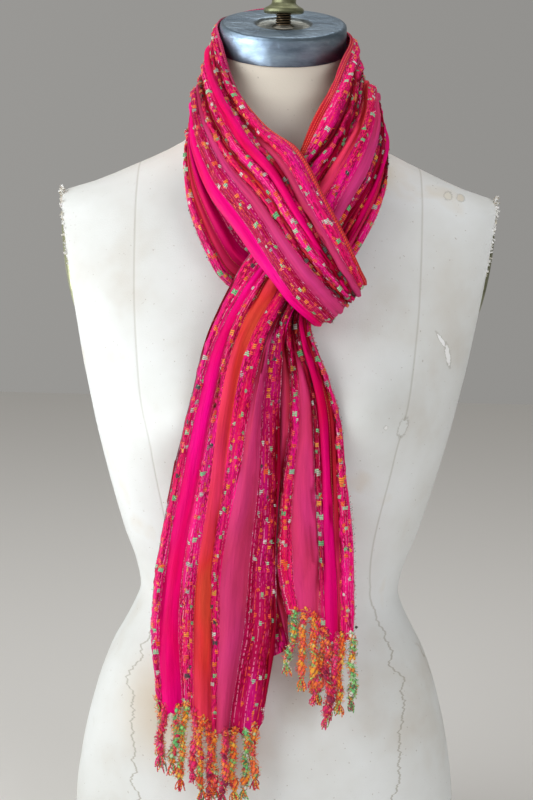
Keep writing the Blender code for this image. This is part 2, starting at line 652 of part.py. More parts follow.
def build_fringe(name, hem, table, group, material):
    """Twisted ends hanging from one narrow backing strip below the hem, in one body."""
    step = np.linalg.norm(np.diff(hem, axis=0), axis=1)
    reach = np.concatenate([[0.0], np.cumsum(step)])
    total = reach[-1]
    half = STRAND_ROOT / 2 / total
    stops = sorted([0.0, 1.0] + [row[0] + way * half for row in table for way in (-1, 1)])
    line = np.stack([np.interp(np.array(stops) * total, reach, hem[:, k]) for k in range(3)], axis=1)
    line[:, 2] -= HEM_GAP
    line[:, 1] += CLOTH / 2
    at = np.array(stops) * total
    for corner, height in zip(reach[1:-1], hem[1:-1, 2]):
        k = int(np.searchsorted(at, corner)) - 1
        above = np.interp(corner, at, line[:, 2]) - (height - HEM_GAP)
        line[k:k + 2, 2] -= max(0.0, above)
    tall = np.array((0.0, 0.0, -BACKING_DROP))
    thick = np.array((0.0, BACKING_THICK / 2, 0.0))
    points = []
    for p in line:
        points.extend((p - thick, p + thick, p + thick + tall, p - thick + tall))
    faces = [(0, 1, 2, 3), tuple(4 * (len(line) - 1) + k for k in (3, 2, 1, 0))]
    for i in range(len(line) - 1):
        a, b = 4 * i, 4 * (i + 1)
        faces.extend(((a, b, b + 1, a + 1), (a + 1, b + 1, b + 2, a + 2), (a + 3, b + 3, b, a)))
        hangs = i % 2 == 1
        if not hangs:
            faces.append((a + 2, b + 2, b + 3, a + 3))
            continue
        row = table[i // 2]
        ring = (a + 3, a + 2, b + 2, b + 3)
        root = (line[i] + line[i + 1]) / 2 + tall
        for part, size in ((0.1, STRAND_THICK), (0.45, STRAND_THICK), (0.8, STRAND_THICK * 0.9), (1.0, STRAND_TIP)):
            sway = math.sin(part * math.pi) * 1.5 * (-1) ** (i // 2)
            middle = root + np.array((row[2] * part**1.5 + sway, -row[3] * part, -row[1] * part))
            new = len(points)
            for dx, dy in ((-1, -1), (-1, 1), (1, 1), (1, -1)):
                points.append(middle + np.array((dx, dy, 0.0)) * size / 2)
            faces.extend((ring[k], ring[(k + 1) % 4], new + (k + 1) % 4, new + k) for k in range(4))
            ring = (new, new + 1, new + 2, new + 3)
        faces.append(ring)
    return facing_out(new_object(name, points, faces, group, material))


def main():
    clear_scene()
    group = new_collection("scarf_on_dress_form")
    tools = new_collection("tools")
    canvas = paint("aged_painted_canvas", (0.70, 0.68, 0.60), 0.0, 0.75)
    build_torso(group, tools, canvas)
    for side, name in ((-1, "arm_plate_left"), (1, "arm_plate_right")):
        build_arm_plate(side, name, group, paint(name + "_brass", (0.33, 0.27, 0.12), 0.8, 0.5))
    build_cap(group, paint("galvanised_cap_steel", (0.42, 0.43, 0.42), 0.9, 0.5))
    steel = paint("blackened_rod_steel", (0.03, 0.03, 0.03), 0.9, 0.5)
    build_rod_and_nut(group, steel, paint("dull_nut_brass", (0.22, 0.20, 0.09), 0.9, 0.5))

    under = Strand(UNDER_STATIONS, UNDER_PLACES, UNDER_STRIPES, UNDER_FOLD)
    over = Strand(OVER_STATIONS, OVER_PLACES, OVER_STRIPES, OVER_FOLD)
    materials = {}
    for k, (name, _, _) in enumerate(OVER_PIECES + UNDER_PIECES):
        materials[name] = paint(name + "_rayon", (0.75 - 0.05 * k, 0.02 + 0.02 * k, 0.12 + 0.03 * k), 0.0, 0.8)
    under_along, under_points = laid_surface(under, [])
    over_along, over_points = laid_surface(over, [as_tree(under_points)])
    made = build_pieces(under, UNDER_PIECES, under_along, under_points, group, materials)
    made |= build_pieces(over, OVER_PIECES, over_along, over_points, group, materials)
    yarn = paint("long_fringe_yarn", (0.75, 0.22, 0.08), 0.0, 0.9)
    build_fringe("long_fringe", made["long_tail"][-1, OVER_FRINGE_FROM:], LONG_FRINGE, group, yarn)
    yarn = paint("short_fringe_yarn", (0.65, 0.30, 0.12), 0.0, 0.9)
    build_fringe("short_fringe", made["short_tail"][-1, UNDER_FRINGE_FROM:], SHORT_FRINGE, group, yarn)


main()
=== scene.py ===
# %% [markdown]
# # A rayon scarf on a dress form
# The real object is one long woven scarf. It is folded double, looped round the neck of a limbless
# dress form, and its two fringed ends are passed through the fold.
# Every piece below is made in the frame of the imported CAD part, so the first step is to load that part
# and to keep its size.

# %% Load the frame and keep its size
import json
import math
import random

import bmesh
import bpy
import numpy as np
from mathutils import Matrix, Vector
from mathutils.bvhtree import BVHTree

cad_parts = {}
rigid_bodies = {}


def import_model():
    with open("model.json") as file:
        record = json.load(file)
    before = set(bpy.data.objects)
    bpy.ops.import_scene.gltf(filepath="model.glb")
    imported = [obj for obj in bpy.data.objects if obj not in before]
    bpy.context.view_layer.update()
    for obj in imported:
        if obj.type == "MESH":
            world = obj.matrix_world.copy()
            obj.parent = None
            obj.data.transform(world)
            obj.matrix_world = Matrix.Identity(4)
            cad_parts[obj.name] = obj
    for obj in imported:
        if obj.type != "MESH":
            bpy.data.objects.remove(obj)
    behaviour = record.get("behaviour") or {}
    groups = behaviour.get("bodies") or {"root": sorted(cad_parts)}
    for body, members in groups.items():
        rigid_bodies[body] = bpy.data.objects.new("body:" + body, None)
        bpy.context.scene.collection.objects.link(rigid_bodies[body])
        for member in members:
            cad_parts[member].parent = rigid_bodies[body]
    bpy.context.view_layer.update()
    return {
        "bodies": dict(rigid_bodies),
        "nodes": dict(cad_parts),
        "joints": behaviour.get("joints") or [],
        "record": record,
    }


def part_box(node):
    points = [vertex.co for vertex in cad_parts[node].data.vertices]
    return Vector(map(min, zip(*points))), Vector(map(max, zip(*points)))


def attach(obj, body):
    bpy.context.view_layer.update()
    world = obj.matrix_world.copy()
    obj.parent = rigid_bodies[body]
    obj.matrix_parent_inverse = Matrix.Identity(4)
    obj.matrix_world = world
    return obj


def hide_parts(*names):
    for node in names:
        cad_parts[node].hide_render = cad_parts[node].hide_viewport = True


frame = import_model()
bpy.ops.object.select_all(action="DESELECT")
MM = 0.001
print("CAD nodes:", len(frame["nodes"]))

# %% [markdown]
# Colours are written the way a paint shop lists them, as sRGB hex values. Blender's shaders want linear
# light, so one function turns a hex value into it. A second one feeds the inputs of a node, and a third adds
# a node with its settings and its links, and hands back the output to read from. That is all the help the
# materials below need. A ramp's stops are pairs of a position and a colour.

# %% Colour and node helpers
def linear(hex_value):
    """An sRGB hex colour as linear red, green, blue and full alpha."""
    parts = [int(hex_value[k:k + 2], 16) / 255 for k in (1, 3, 5)]
    return (*[p / 12.92 if p <= 0.04045 else ((p + 0.055) / 1.055) ** 2.4 for p in parts], 1.0)


def feed(node, links):
    """Fills a node's inputs, each with a socket to read from, a hex colour or a plain value."""
    for socket, value in links.items():
        if isinstance(value, bpy.types.NodeSocket):
            node.id_data.links.new(value, node.inputs[socket])
        else:
            node.inputs[socket].default_value = linear(value) if isinstance(value, str) else value


def add_node(tree, kind, links, output=0, stops=(), between="LINEAR", **settings):
    """Adds one node with its settings, links and colour stops, and hands back the output to read from."""
    node = tree.nodes.new("ShaderNode" + kind)
    for name, value in settings.items():
        setattr(node, name, value)
    feed(node, links)
    if stops:
        ramp = node.color_ramp
        ramp.interpolation = between
        ramp.elements.remove(ramp.elements[-1])
        ramp.elements[0].position = stops[0][0]
        ramp.elements[0].color = linear(stops[0][1])
        for position, colour in stops[1:]:
            ramp.elements.new(position).color = linear(colour)
    return node.outputs[output]


def new_material(name):
    """An empty material with its Principled shader, ready for a pattern."""
    material = bpy.data.materials.new(name)
    material.use_nodes = True
    return material, material.node_tree, material.node_tree.nodes["Principled BSDF"]


print("hot pink in linear light:", [round(c, 3) for c in linear("#f0006e")[:3]])

# %% [markdown]
# The picture was taken from about 1.8 m away and 8 degrees above the middle of the form, with the camera
# turned by a degree and a half. The lens follows from how many pixels a metre takes in the photo.

# %% Camera
VIEW_DISTANCE = 1.8
VIEW_RISE = math.radians(8.0)
VIEW_ROLL = math.radians(1.4)
PIXELS_PER_METRE = 1120.0
PICTURE_HEIGHT = 800
SENSOR_HEIGHT = 24.0
LOOK_AT = Vector((-0.0067, 0.0, 0.417))

ahead = Vector((0.0, math.cos(VIEW_RISE), -math.sin(VIEW_RISE)))
level_right = Vector((1.0, 0.0, 0.0))
level_up = level_right.cross(ahead)
right = level_right * math.cos(VIEW_ROLL) + level_up * math.sin(VIEW_ROLL)
up = level_up * math.cos(VIEW_ROLL) - level_right * math.sin(VIEW_ROLL)
camera_data = bpy.data.cameras.new("camera")
camera_data.sensor_fit = "VERTICAL"
camera_data.sensor_height = SENSOR_HEIGHT
camera_data.lens = SENSOR_HEIGHT * PIXELS_PER_METRE * VIEW_DISTANCE / PICTURE_HEIGHT
camera = bpy.data.objects.new("camera", camera_data)
bpy.context.scene.collection.objects.link(camera)
camera.matrix_world = Matrix.Translation(LOOK_AT - ahead * VIEW_DISTANCE) @ Matrix(
    (right, up, -ahead)).transposed().to_4x4()
bpy.context.scene.camera = camera
print("lens:", round(camera_data.lens, 1), "mm")

# %% [markdown]
# A plain pale floor and a soft room light keep attention on the cloth. The main light is a wide soft panel
# at the upper left, as a window is, and a weaker one opens the shadows on the right. That one is kept out
# of mirror reflections, so the steel and the brass show the window alone. The room is brighter on the
# window's side than on the other, so round things fall off into shade towards the right. A white card lies
# on the floor at the left, out of the picture, only for the metal to mirror.

# %% Floor and light
bpy.context.scene.view_settings.view_transform = "Standard"
bpy.ops.mesh.primitive_plane_add(size=6.0)
floor = bpy.context.object
floor.name = "floor"
floor_paint, _, shader = new_material("matt_pale_floor_paint")
feed(shader, {"Base Color": "#e4e1dc", "Roughness": 0.9})
floor.data.materials.append(floor_paint)

# Columns: name, place, aim, wide, high, watts, colour, in mirrors, on matt things
LIGHTS = (
    ("window_panel", (-2.1, -1.15, 1.35), (0.0, 0.0, 0.45), 2.8, 1.5, 52.0, "#f7fbff", True, True),
    ("fill_panel", (1.3, -1.9, 1.0), (0.0, 0.0, 0.45), 1.6, 1.6, 20.0, "#f4f6ff", False, True),
    ("top_panel", (0.1, 0.4, 2.2), (0.0, 0.0, 0.5), 1.2, 1.2, 9.0, "#ffffff", True, True),
    ("white_card", (-1.62, -0.25, 0.02), (-1.62, -0.25, 1.0), 1.8, 1.8, 125.0, "#f4f8ff", True, False),
)
for name, place, aim, wide, high, watts, colour, in_mirrors, on_matt_things in LIGHTS:
    lamp = bpy.data.lights.new(name, "AREA")
    lamp.shape = "RECTANGLE"
    lamp.size = wide
    lamp.size_y = high
    lamp.energy = watts
    lamp.color = linear(colour)[:3]
    light = bpy.data.objects.new(name, lamp)
    light.visible_camera = False
    light.visible_glossy = in_mirrors
    light.visible_diffuse = on_matt_things
    light.location = place
    light.rotation_euler = (Vector(aim) - Vector(place)).to_track_quat("-Z", "Y").to_euler()
    bpy.context.scene.collection.objects.link(light)
world = bpy.data.worlds.new("soft_room")
world.use_nodes = True
sky = world.node_tree.nodes["Background"]
heading = add_node(world.node_tree, "TexCoord", {}, "Generated")
side = add_node(world.node_tree, "SeparateXYZ", {0: heading})
room = add_node(world.node_tree, "MapRange", {0: side, 1: -1.0, 2: 1.0, 3: 0.58, 4: 0.27})
feed(sky, {"Strength": room, "Color": "#dcdad6"})
bpy.context.scene.world = world
print("lights:", len(LIGHTS))

# %% [markdown]
# A dress form is pasted up from paper and canvas over a mould, so it is one smooth skin with no flat places.
# Its sizes are taken as a dressmaker takes them, height by height: half the width, and how far the front and
# the back stand from the middle. A curve is drawn through those rows, and a bust is added to the front.

# %% The form's sizes, in millimetres
# Columns: height, half width, front, back, middle, lean
FORM_SECTIONS = (
    (0.0, 169.0, -101.0, 112.0, 6.0, 0.0),
    (50.0, 172.0, -106.0, 118.0, 6.0, 0.0),
    (100.0, 166.5, -106.0, 116.0, 6.0, 0.0),
    (150.0, 155.5, -101.0, 106.0, 6.0, 0.0),
    (190.0, 142.0, -95.0, 94.0, 5.0, 0.0),
    (225.0, 124.0, -87.0, 80.0, 4.0, 0.0),
    (248.0, 116.0, -84.0, 73.0, 3.0, 0.0),
    (270.0, 120.0, -86.0, 71.0, 2.0, 0.0),
    (300.0, 131.0, -91.0, 74.0, 1.0, 0.0),
    (350.0, 146.0, -100.0, 81.0, 1.0, 0.0),
    (400.0, 159.0, -107.0, 88.0, 2.0, 0.0),
    (440.0, 168.0, -108.0, 92.0, 4.0, 0.0),
    (480.0, 178.0, -104.0, 95.0, 6.0, 0.0),
    (520.0, 192.0, -96.0, 97.0, 8.0, 0.0),
    (560.0, 204.0, -86.0, 95.0, 9.0, 0.0),
    (585.0, 206.0, -78.0, 90.0, 9.0, 0.0),
    (597.0, 194.0, -73.0, 86.0, 9.0, 0.0),
    (609.0, 160.0, -68.0, 80.0, 8.0, 0.0),
    (624.0, 126.0, -63.0, 73.0, 7.0, 0.0),
    (636.0, 100.0, -60.0, 68.0, 5.0, 1.5),
    (648.0, 80.0, -58.0, 64.0, 3.0, 3.0),
    (662.0, 66.0, -57.0, 59.0, 1.0, 6.0),
    (682.0, 56.0, -56.0, 54.0, -1.0, 11.5),
    (702.0, 53.5, -55.5, 51.5, -2.0, 16.0),
)
ROUNDNESS = 2.25
BUST_APART = 72.0
BUST_HEIGHT = 420.0
BUST_RISE = 27.0
BUST_SPREAD = 43.0
ARM_CUT_FOOT = (173.0, 480.0)
ARM_CUT_TOP = (189.5, 600.0)
CAP_LEAN = math.radians(16.0)
CAP_MIDDLE = (0.0, -11.0, 748.0)
CAP_RADIUS = 55.0
CAP_SKIRT = 25.0
print("form rows:", len(FORM_SECTIONS), "from", FORM_SECTIONS[0][0], "to", FORM_SECTIONS[-1][0], "mm")


# %% Curves through the rows, and the form's skin
def through(positions, values, at):
    """A smooth curve through rows of values that does not overshoot them."""
    positions = np.asarray(positions, float)
    values = np.asarray(values, float)
    step = np.diff(positions)
    slope = np.diff(values, axis=0) / step.reshape((-1,) + (1,) * (values.ndim - 1))
    tangent = np.zeros_like(values)
    product = slope[1:] * slope[:-1]
    total = np.where(product > 0, slope[1:] + slope[:-1], 1.0)
    tangent[1:-1] = np.where(product > 0, 2 * product / total, 0.0)
    tangent[0] = slope[0]
    tangent[-1] = slope[-1]
    return hermite(positions, values, tangent, at)


def flowing(positions, values, at):
    """A rounder curve through rows, for the run of the cloth."""
    positions = np.asarray(positions, float)
    values = np.asarray(values, float)
    return hermite(positions, values, np.gradient(values, positions, axis=0), at)


def hermite(positions, values, tangent, at):
    """Cubic pieces between rows that have the given tangents."""
    at = np.clip(np.asarray(at, float), positions[0], positions[-1])
    k = np.clip(np.searchsorted(positions, at, side="right") - 1, 0, len(positions) - 2)
    shape = (-1,) + (1,) * (values.ndim - 1)
    span = (positions[k + 1] - positions[k]).reshape(shape)
    t = (at - positions[k]).reshape(shape) / span
    a = values[k] * (2 * t**3 - 3 * t**2 + 1) + values[k + 1] * (3 * t**2 - 2 * t**3)
    b = tangent[k] * (t**3 - 2 * t**2 + t) + tangent[k + 1] * (t**3 - t**2)
    return a + span * b


def unit(v):
    """The same directions with a length of one."""
    return v / np.maximum(np.linalg.norm(v, axis=-1, keepdims=True), 1e-9)


def form_section(height):
    """The form's half width, front, back, middle and lean at one or more heights."""
    rows = np.array(FORM_SECTIONS)
    return through(rows[:, 0], rows[:, 1:], np.atleast_1d(height))


def bust(x, z):
    """How far the bust stands forward of the plain section."""
    reach = (np.abs(x) - BUST_APART) ** 2 + (z - BUST_HEIGHT) ** 2
    return BUST_RISE * np.exp(-reach / BUST_SPREAD**2)


def form_level(points):
    """One on the form's skin, more outside it, less inside it."""
    x, y, z = points[:, 0], points[:, 1], points[:, 2]
    lean = np.tan(np.radians(form_section(z)[:, 4]))
    level = z - (y - form_section(z)[:, 3]) * lean
    half, front, back, middle, _ = form_section(level).T
    y = np.where(y < middle, np.minimum(y + bust(x, z), middle), y)
    depth = np.where(y < middle, middle - front, back - middle)
    power = (np.abs(x) / half) ** ROUNDNESS + (np.abs(y - middle) / depth) ** ROUNDNESS
    return power ** (1 / ROUNDNESS)

print("half width at the waist:", round(float(form_section(248.0)[0][0]), 1), "mm")

# %% [markdown]
# The skin starts as a cylinder. Its upright edges are cut into many rings by subdividing, and then each
# ring is moved out to the form's own section. A loft like this keeps an even net of quads, which shades
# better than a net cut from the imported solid, and its size stays the same.

# %% The torso
SKIN_SIDES = 112
SKIN_RINGS = 101
SKIN_TOP = 702.0
FOOT_BEVEL = 2.5
PLUG_RADIUS = 53.45
# Columns: inset, below
PLUG_RINGS = ((0.0, 36.0), (0.0, 20.0), (0.0, 5.7), (3.0, 4.55))


def tool_off():
    """Leaves edit mode and lets go of everything."""
    if bpy.context.mode != "OBJECT":
        bpy.ops.object.mode_set(mode="OBJECT")
    bpy.ops.object.select_all(action="DESELECT")


def take_up(thing):
    """Makes one piece the only one selected, and the active one."""
    tool_off()
    thing.select_set(True)
    bpy.context.view_layer.objects.active = thing


def settle(thing, name, material=None):
    """Names a finished piece, puts its place into its mesh and gives it its finish."""
    take_up(thing)
    thing.name = name
    thing.data.name = name
    bpy.ops.object.transform_apply(location=True, rotation=True, scale=True)
    if material is not None:
        thing.data.materials.clear()
        thing.data.materials.append(material)
    thing.select_set(False)
    return thing


def smooth_below(thing, degrees):
    """Shades smooth across every edge that turns less than the angle."""
    take_up(thing)
    bpy.ops.object.shade_smooth_by_angle(angle=math.radians(degrees))
    tool_off()


def declare(piece, slot_name, *nodes):
    """Hangs a piece on the root body and hides the CAD nodes it stands for; its slot name is not used."""
    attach(piece, "root")
    if nodes:
        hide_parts(*nodes)


def cut_upright(thing, rise, cuts):
    """Cuts every edge that rises more than this into equal parts."""
    take_up(thing)
    bpy.ops.object.mode_set(mode="EDIT")
    bpy.ops.mesh.select_mode(type="EDGE")
    bpy.ops.mesh.select_all(action="DESELECT")
    mesh = bmesh.from_edit_mesh(thing.data)
    for edge in mesh.edges:
        edge.select_set(abs(edge.verts[0].co.z - edge.verts[1].co.z) > rise)
    bmesh.update_edit_mesh(thing.data)
    bpy.ops.mesh.subdivide(number_cuts=cuts)
    tool_off()


def skin_point(turn, height, inset=0.0):
    """A point of the form's skin at a turn round it, in millimetres."""
    half, front, back, middle, lean = form_section(height)[0]
    c, s = math.cos(turn), math.sin(turn)
    x = (half - inset) * math.copysign(abs(c) ** (2 / ROUNDNESS), c)
    depth = (back - middle if s > 0 else middle - front) - inset
    y = depth * math.copysign(abs(s) ** (2 / ROUNDNESS), s)
    z = height + y * math.tan(math.radians(lean))
    y += middle
    if s < 0:
        y -= bust(x, z) * min(1.0, abs(s) * 3)
    return x, y, z


bpy.ops.mesh.primitive_cylinder_add(vertices=SKIN_SIDES, radius=0.1, depth=1.0, location=(0, 0, 0.5))
torso = settle(bpy.context.object, "form_torso")
cut_upright(torso, 0.5, SKIN_RINGS - 1)
skin_levels = SKIN_RINGS - len(PLUG_RINGS)
for vertex in torso.data.vertices:
    turn = math.atan2(vertex.co.y, vertex.co.x)
    level = round(vertex.co.z * SKIN_RINGS)
    if level <= skin_levels:
        height = SKIN_TOP * level / skin_levels
        point = skin_point(turn, height, max(0.0, FOOT_BEVEL - height) * 0.9)
    else:
        inset, below = PLUG_RINGS[level - skin_levels - 1]
        radius = PLUG_RADIUS - inset
        upright = Vector((radius * math.cos(turn), radius * math.sin(turn), -below))
        point = Matrix.Rotation(CAP_LEAN, 3, "X") @ upright + Vector(CAP_MIDDLE)
    vertex.co = Vector(point) * MM
print("torso skin:", len(torso.data.polygons), "faces")

# %% [markdown]
# The arms are not built. On the real form each armhole is a flat oval, closed with a pressed brass plate,
# so a block takes a slice off each side of the skin and leaves that flat.


# %% Slice the armholes
def arm_plane(side):
    """The middle of the flat at an armhole, and its tilt about Y."""
    foot, top = ARM_CUT_FOOT, ARM_CUT_TOP
    middle = Vector((side * (foot[0] + top[0]) / 2, 4.0, (foot[1] + top[1]) / 2)) * MM
    return middle, side * math.atan2(top[0] - foot[0], top[1] - foot[1])


for side in (-1, 1):
    middle, turn = arm_plane(side)
    outward = Matrix.Rotation(turn, 3, "Y") @ Vector((side, 0, 0))
    bpy.ops.mesh.primitive_cube_add(size=1.0)
    block = bpy.context.object
    block.scale = (0.12, 0.3, 0.3)
    block.rotation_euler = (0, turn, 0)
    block.location = middle + outward * 0.06
    cut = torso.modifiers.new("armhole", "BOOLEAN")
    cut.operation = "DIFFERENCE"
    cut.solver = "EXACT"
    cut.object = block
    bpy.context.view_layer.objects.active = torso
    bpy.ops.object.modifier_apply(modifier=cut.name)
    bpy.data.objects.remove(block)
    tool_off()
smooth_below(torso, 38)
print("torso after the armholes:", [round(d, 3) for d in torso.dimensions])

# %% [markdown]
# The form is canvas over papier-mache, painted off-white and rubbed for decades. At this size the eye gets
# three things: a faint cloth grain, broad yellowed and greyed patches, and thin brown cracks that gather low
# on the hips where the shell flexes. Two sewn seams run from the shoulders over the bust to the waist.

# %% Aged painted canvas
# Columns: height, from the middle
SEAM_LINE = ((0.0, 0.120), (0.09, 0.114), (0.18, 0.118), (0.25, 0.089), (0.38, 0.103), (0.44, 0.115), (0.60, 0.122),
             (0.76, 0.118))
# Columns: x, y, z, half wide, half tall, lean, paint
MARKS = (
    (0.1451, -0.03, 0.6037, 0.0036, 0.0034, 0.0, "#e2ded0"),
    (0.1564, -0.03, 0.6022, 0.0036, 0.0030, 0.2, "#ddd6c6"),
    (0.1418, -0.06, 0.4815, 0.0016, 0.0085, -0.6, "#fdfdfa"),
    (0.1482, -0.06, 0.4680, 0.0022, 0.0105, -0.2, "#fafaf6"),
    (0.1092, -0.09, 0.4096, 0.0040, 0.0085, 0.3, "#e2e3de"),
    (0.0938, -0.10, 0.4116, 0.0018, 0.0018, 0.0, "#f4f4f0"),
    # The small hole below is a near-black spot: painted shade inside the hole
    (0.0764, -0.10, 0.2290, 0.0014, 0.0016, 0.0, "#2e2a26"),
)
MARK_DEPTH = 0.08
STAIN_MIDDLE = (-0.085, -0.09, 0.16)
canvas, tree, shader = new_material("aged_painted_canvas")
place = add_node(tree, "TexCoord", {}, "Object")
sideways, _, high = add_node(tree, "SeparateXYZ", {0: place}).node.outputs

# Broad patches: the paint has yellowed here and greyed there, over hand-sized areas
patches = add_node(tree, "TexNoise", {"Vector": place, "Scale": 9.0, "Detail": 4.0, "Roughness": 0.55})
coat = add_node(tree, "ValToRGB", {0: patches},
                stops=((0.30, "#d4d0c6"), (0.46, "#e0e1dc"), (0.62, "#e7e9e6"), (0.80, "#dbd0ba")))

# Handling has turned the neck a warm beige, and the belly has a faint stain
from_stain = add_node(tree, "VectorMath", {0: place, 1: STAIN_MIDDLE}, "Value", operation="DISTANCE")
for links, colour in (({0: high, 1: 0.60, 2: 0.69, 3: 0.0, 4: 0.75}, "#eadfc8"),
                      ({0: from_stain, 1: 0.01, 2: 0.075, 3: 0.6, 4: 0.0}, "#d3c0a0")):
    share = add_node(tree, "MapRange", links, interpolation_type="SMOOTHSTEP")
    coat = add_node(tree, "MixRGB", {0: share, 1: coat, 2: colour})

# Cracks: the edges of stretched cells, bent by noise, out on the hips where a second noise lets them show
bend = add_node(tree, "TexNoise", {"Vector": place, "Scale": 38.0, "Detail": 3.0, "Roughness": 0.6}, "Color")
bent = add_node(tree, "MixRGB", {0: 0.035, 1: place, 2: bend}, blend_type="ADD")
long_cells = add_node(tree, "Mapping", {"Vector": bent, "Scale": (1.0, 1.0, 0.32)})
cells = add_node(tree, "TexVoronoi", {"Vector": long_cells, "Scale": 13.0}, feature="DISTANCE_TO_EDGE")
crack = add_node(tree, "MapRange", {0: cells, 1: 0.004, 2: 0.012, 3: 1.0, 4: 0.0})
crack_where = add_node(tree, "TexNoise", {"Vector": place, "Scale": 5.2, "Detail": 1.0})
crack_some = add_node(tree, "MapRange", {0: crack_where, 1: 0.42, 2: 0.52, 3: 0.0, 4: 1.0})
outward = add_node(tree, "Math", {0: sideways}, operation="ABSOLUTE")
crack_side = add_node(tree, "MapRange", {0: outward, 1: 0.128, 2: 0.14, 3: 0.0, 4: 1.0})
low = add_node(tree, "MapRange", {0: high, 1: 0.27, 2: 0.20, 3: 0.0, 4: 1.0})
cracks = low
for share in (crack_side, crack_some, crack):
    cracks = add_node(tree, "Math", {0: share, 1: cracks}, operation="MULTIPLY")
crack_show = add_node(tree, "Math", {0: cracks, 1: 0.5}, operation="MULTIPLY")
coat = add_node(tree, "MixRGB", {0: crack_show, 1: coat, 2: "#9a8a70"})

# Seams: a sewn line about 1.5 mm wide, at a distance from the middle that changes with height.
# Low on the hips the paint has cracked along them, in a jagged line
seam_curve = add_node(tree, "FloatCurve", {1: high})
seam_points = seam_curve.node.mapping.curves[0].points
for height, where in SEAM_LINE[1:-1]:
    seam_points.new(height, where)
seam_points[0].location, seam_points[-1].location = SEAM_LINE[0], SEAM_LINE[-1]
seam_curve.node.mapping.update()
off_line = add_node(tree, "Math", {0: outward, 1: seam_curve}, operation="SUBTRACT")
left_or_right = add_node(tree, "Math", {0: sideways}, operation="SIGN")
jag_place = add_node(tree, "CombineXYZ", {0: left_or_right, 2: high})
jags = add_node(tree, "TexNoise", {"Vector": jag_place, "Scale": 24.0, "Detail": 5.0, "Roughness": 0.68})
jag = add_node(tree, "MapRange", {0: jags, 1: 0.3, 2: 0.7, 3: -0.011, 4: 0.011})
off_seam = add_node(tree, "Math", {0: jag, 1: low, 2: off_line}, operation="MULTIPLY_ADD")
near_seam = add_node(tree, "Math", {0: off_seam}, operation="ABSOLUTE")
seam = add_node(tree, "MapRange", {0: near_seam, 1: 0.0004, 2: 0.0011, 3: 1.0, 4: 0.0})
seam_dark = add_node(tree, "Math", {0: low, 1: 0.3, 2: 0.34}, operation="MULTIPLY_ADD")
seam_show = add_node(tree, "Math", {0: seam, 1: seam_dark}, operation="MULTIPLY")
coat = add_node(tree, "MixRGB", {0: seam_show, 1: coat, 2: "#a39c8c"})

# Marks: two blisters, a torn place where white shows, a patch with a rim, a chip, and a small hole low down whose
# dark inside is painted shade
ragged = add_node(tree, "TexNoise", {"Vector": place, "Scale": 420.0, "Detail": 3.0, "Roughness": 0.75})
marks = 0.0
for x, y, z, half_wide, half_tall, lean, paint in MARKS:
    spot = add_node(tree, "Mapping", {"Vector": place, "Location": (x, y, z), "Rotation": (0.0, lean, 0.0),
                                      "Scale": (half_wide, MARK_DEPTH, half_tall)}, vector_type="TEXTURE")
    reach = add_node(tree, "VectorMath", {0: spot}, "Value", operation="LENGTH")
    uneven = add_node(tree, "Math", {0: ragged, 1: 1.4, 2: reach}, operation="MULTIPLY_ADD")
    rim = add_node(tree, "MapRange", {0: uneven, 1: 1.72, 2: 1.95, 3: 0.42, 4: 0.0})
    inside = add_node(tree, "MapRange", {0: uneven, 1: 1.5, 2: 1.65, 3: 1.0, 4: 0.0})
    for share, colour in ((rim, "#958f80"), (inside, paint)):
        coat = add_node(tree, "MixRGB", {0: share, 1: coat, 2: colour})
    marks = add_node(tree, "Math", {0: inside, 1: marks}, operation="ADD")

# Specks of dirt and chips about a millimetre wide
specks = add_node(tree, "TexNoise", {"Vector": place, "Scale": 420.0, "Detail": 1.0})
speck = add_node(tree, "MapRange", {0: specks, 1: 0.74, 2: 0.80, 3: 0.0, 4: 0.55})
coat = add_node(tree, "MixRGB", {0: speck, 1: coat, 2: "#978b78"})

# Canvas threads are about 0.5 mm, too fine to show at this size, so they are drawn at 1.2 mm and faint.
# Cracks and seams are sunk into them, and the marks stand up
relief = add_node(tree, "TexNoise", {"Vector": place, "Scale": 830.0, "Detail": 2.0})
for pattern, rise in ((cracks, -2.0), (marks, 2.5), (seam, -2.0)):
    relief = add_node(tree, "Math", {0: pattern, 1: rise, 2: relief}, operation="MULTIPLY_ADD")
bump = add_node(tree, "Bump", {"Strength": 0.22, "Distance": 0.0006, "Height": relief})
feed(shader, {"Base Color": coat, "Roughness": 0.62, "IOR": 1.45, "Normal": bump})
declare(settle(torso, "form_torso", canvas), "form_canvas", "torso")
print("canvas nodes:", len(tree.nodes))

# %% [markdown]
# The neck ends in a pressed steel cap, galvanised and knocked about. Its section is drawn once as a few
# points and spun round the neck's own leaning axis, which is how the real one was spun or pressed. The
# dents are shallow hollows pushed into the skirt and the top.

# %% Spin the cap
CAP_EDGE = 3.5
CAP_WALL = 1.2
RECESS_RADIUS = 24.0
RECESS_DEPTH = 3.0
ROD_HOLE = 9.5
CAP_STEPS = 128


def spun(name, profile, steps):
    """Spins a closed section of (radius, height) in millimetres round the upright axis."""
    bpy.ops.mesh.primitive_circle_add(vertices=len(profile), radius=0.01)
    thing = bpy.context.object
    for vertex, (radius, height) in zip(thing.data.vertices, profile):
        vertex.co = (radius * MM, 0.0, height * MM)
    bpy.ops.object.mode_set(mode="EDIT")
    bpy.ops.mesh.select_all(action="SELECT")
    bpy.ops.mesh.spin(steps=steps, angle=2 * math.pi, center=(0, 0, 0), axis=(0, 0, 1))
    bpy.ops.mesh.select_all(action="SELECT")
    bpy.ops.mesh.remove_doubles(threshold=0.00001)
    bpy.ops.mesh.normals_make_consistent(inside=False)
    tool_off()
    thing.name = name
    return thing


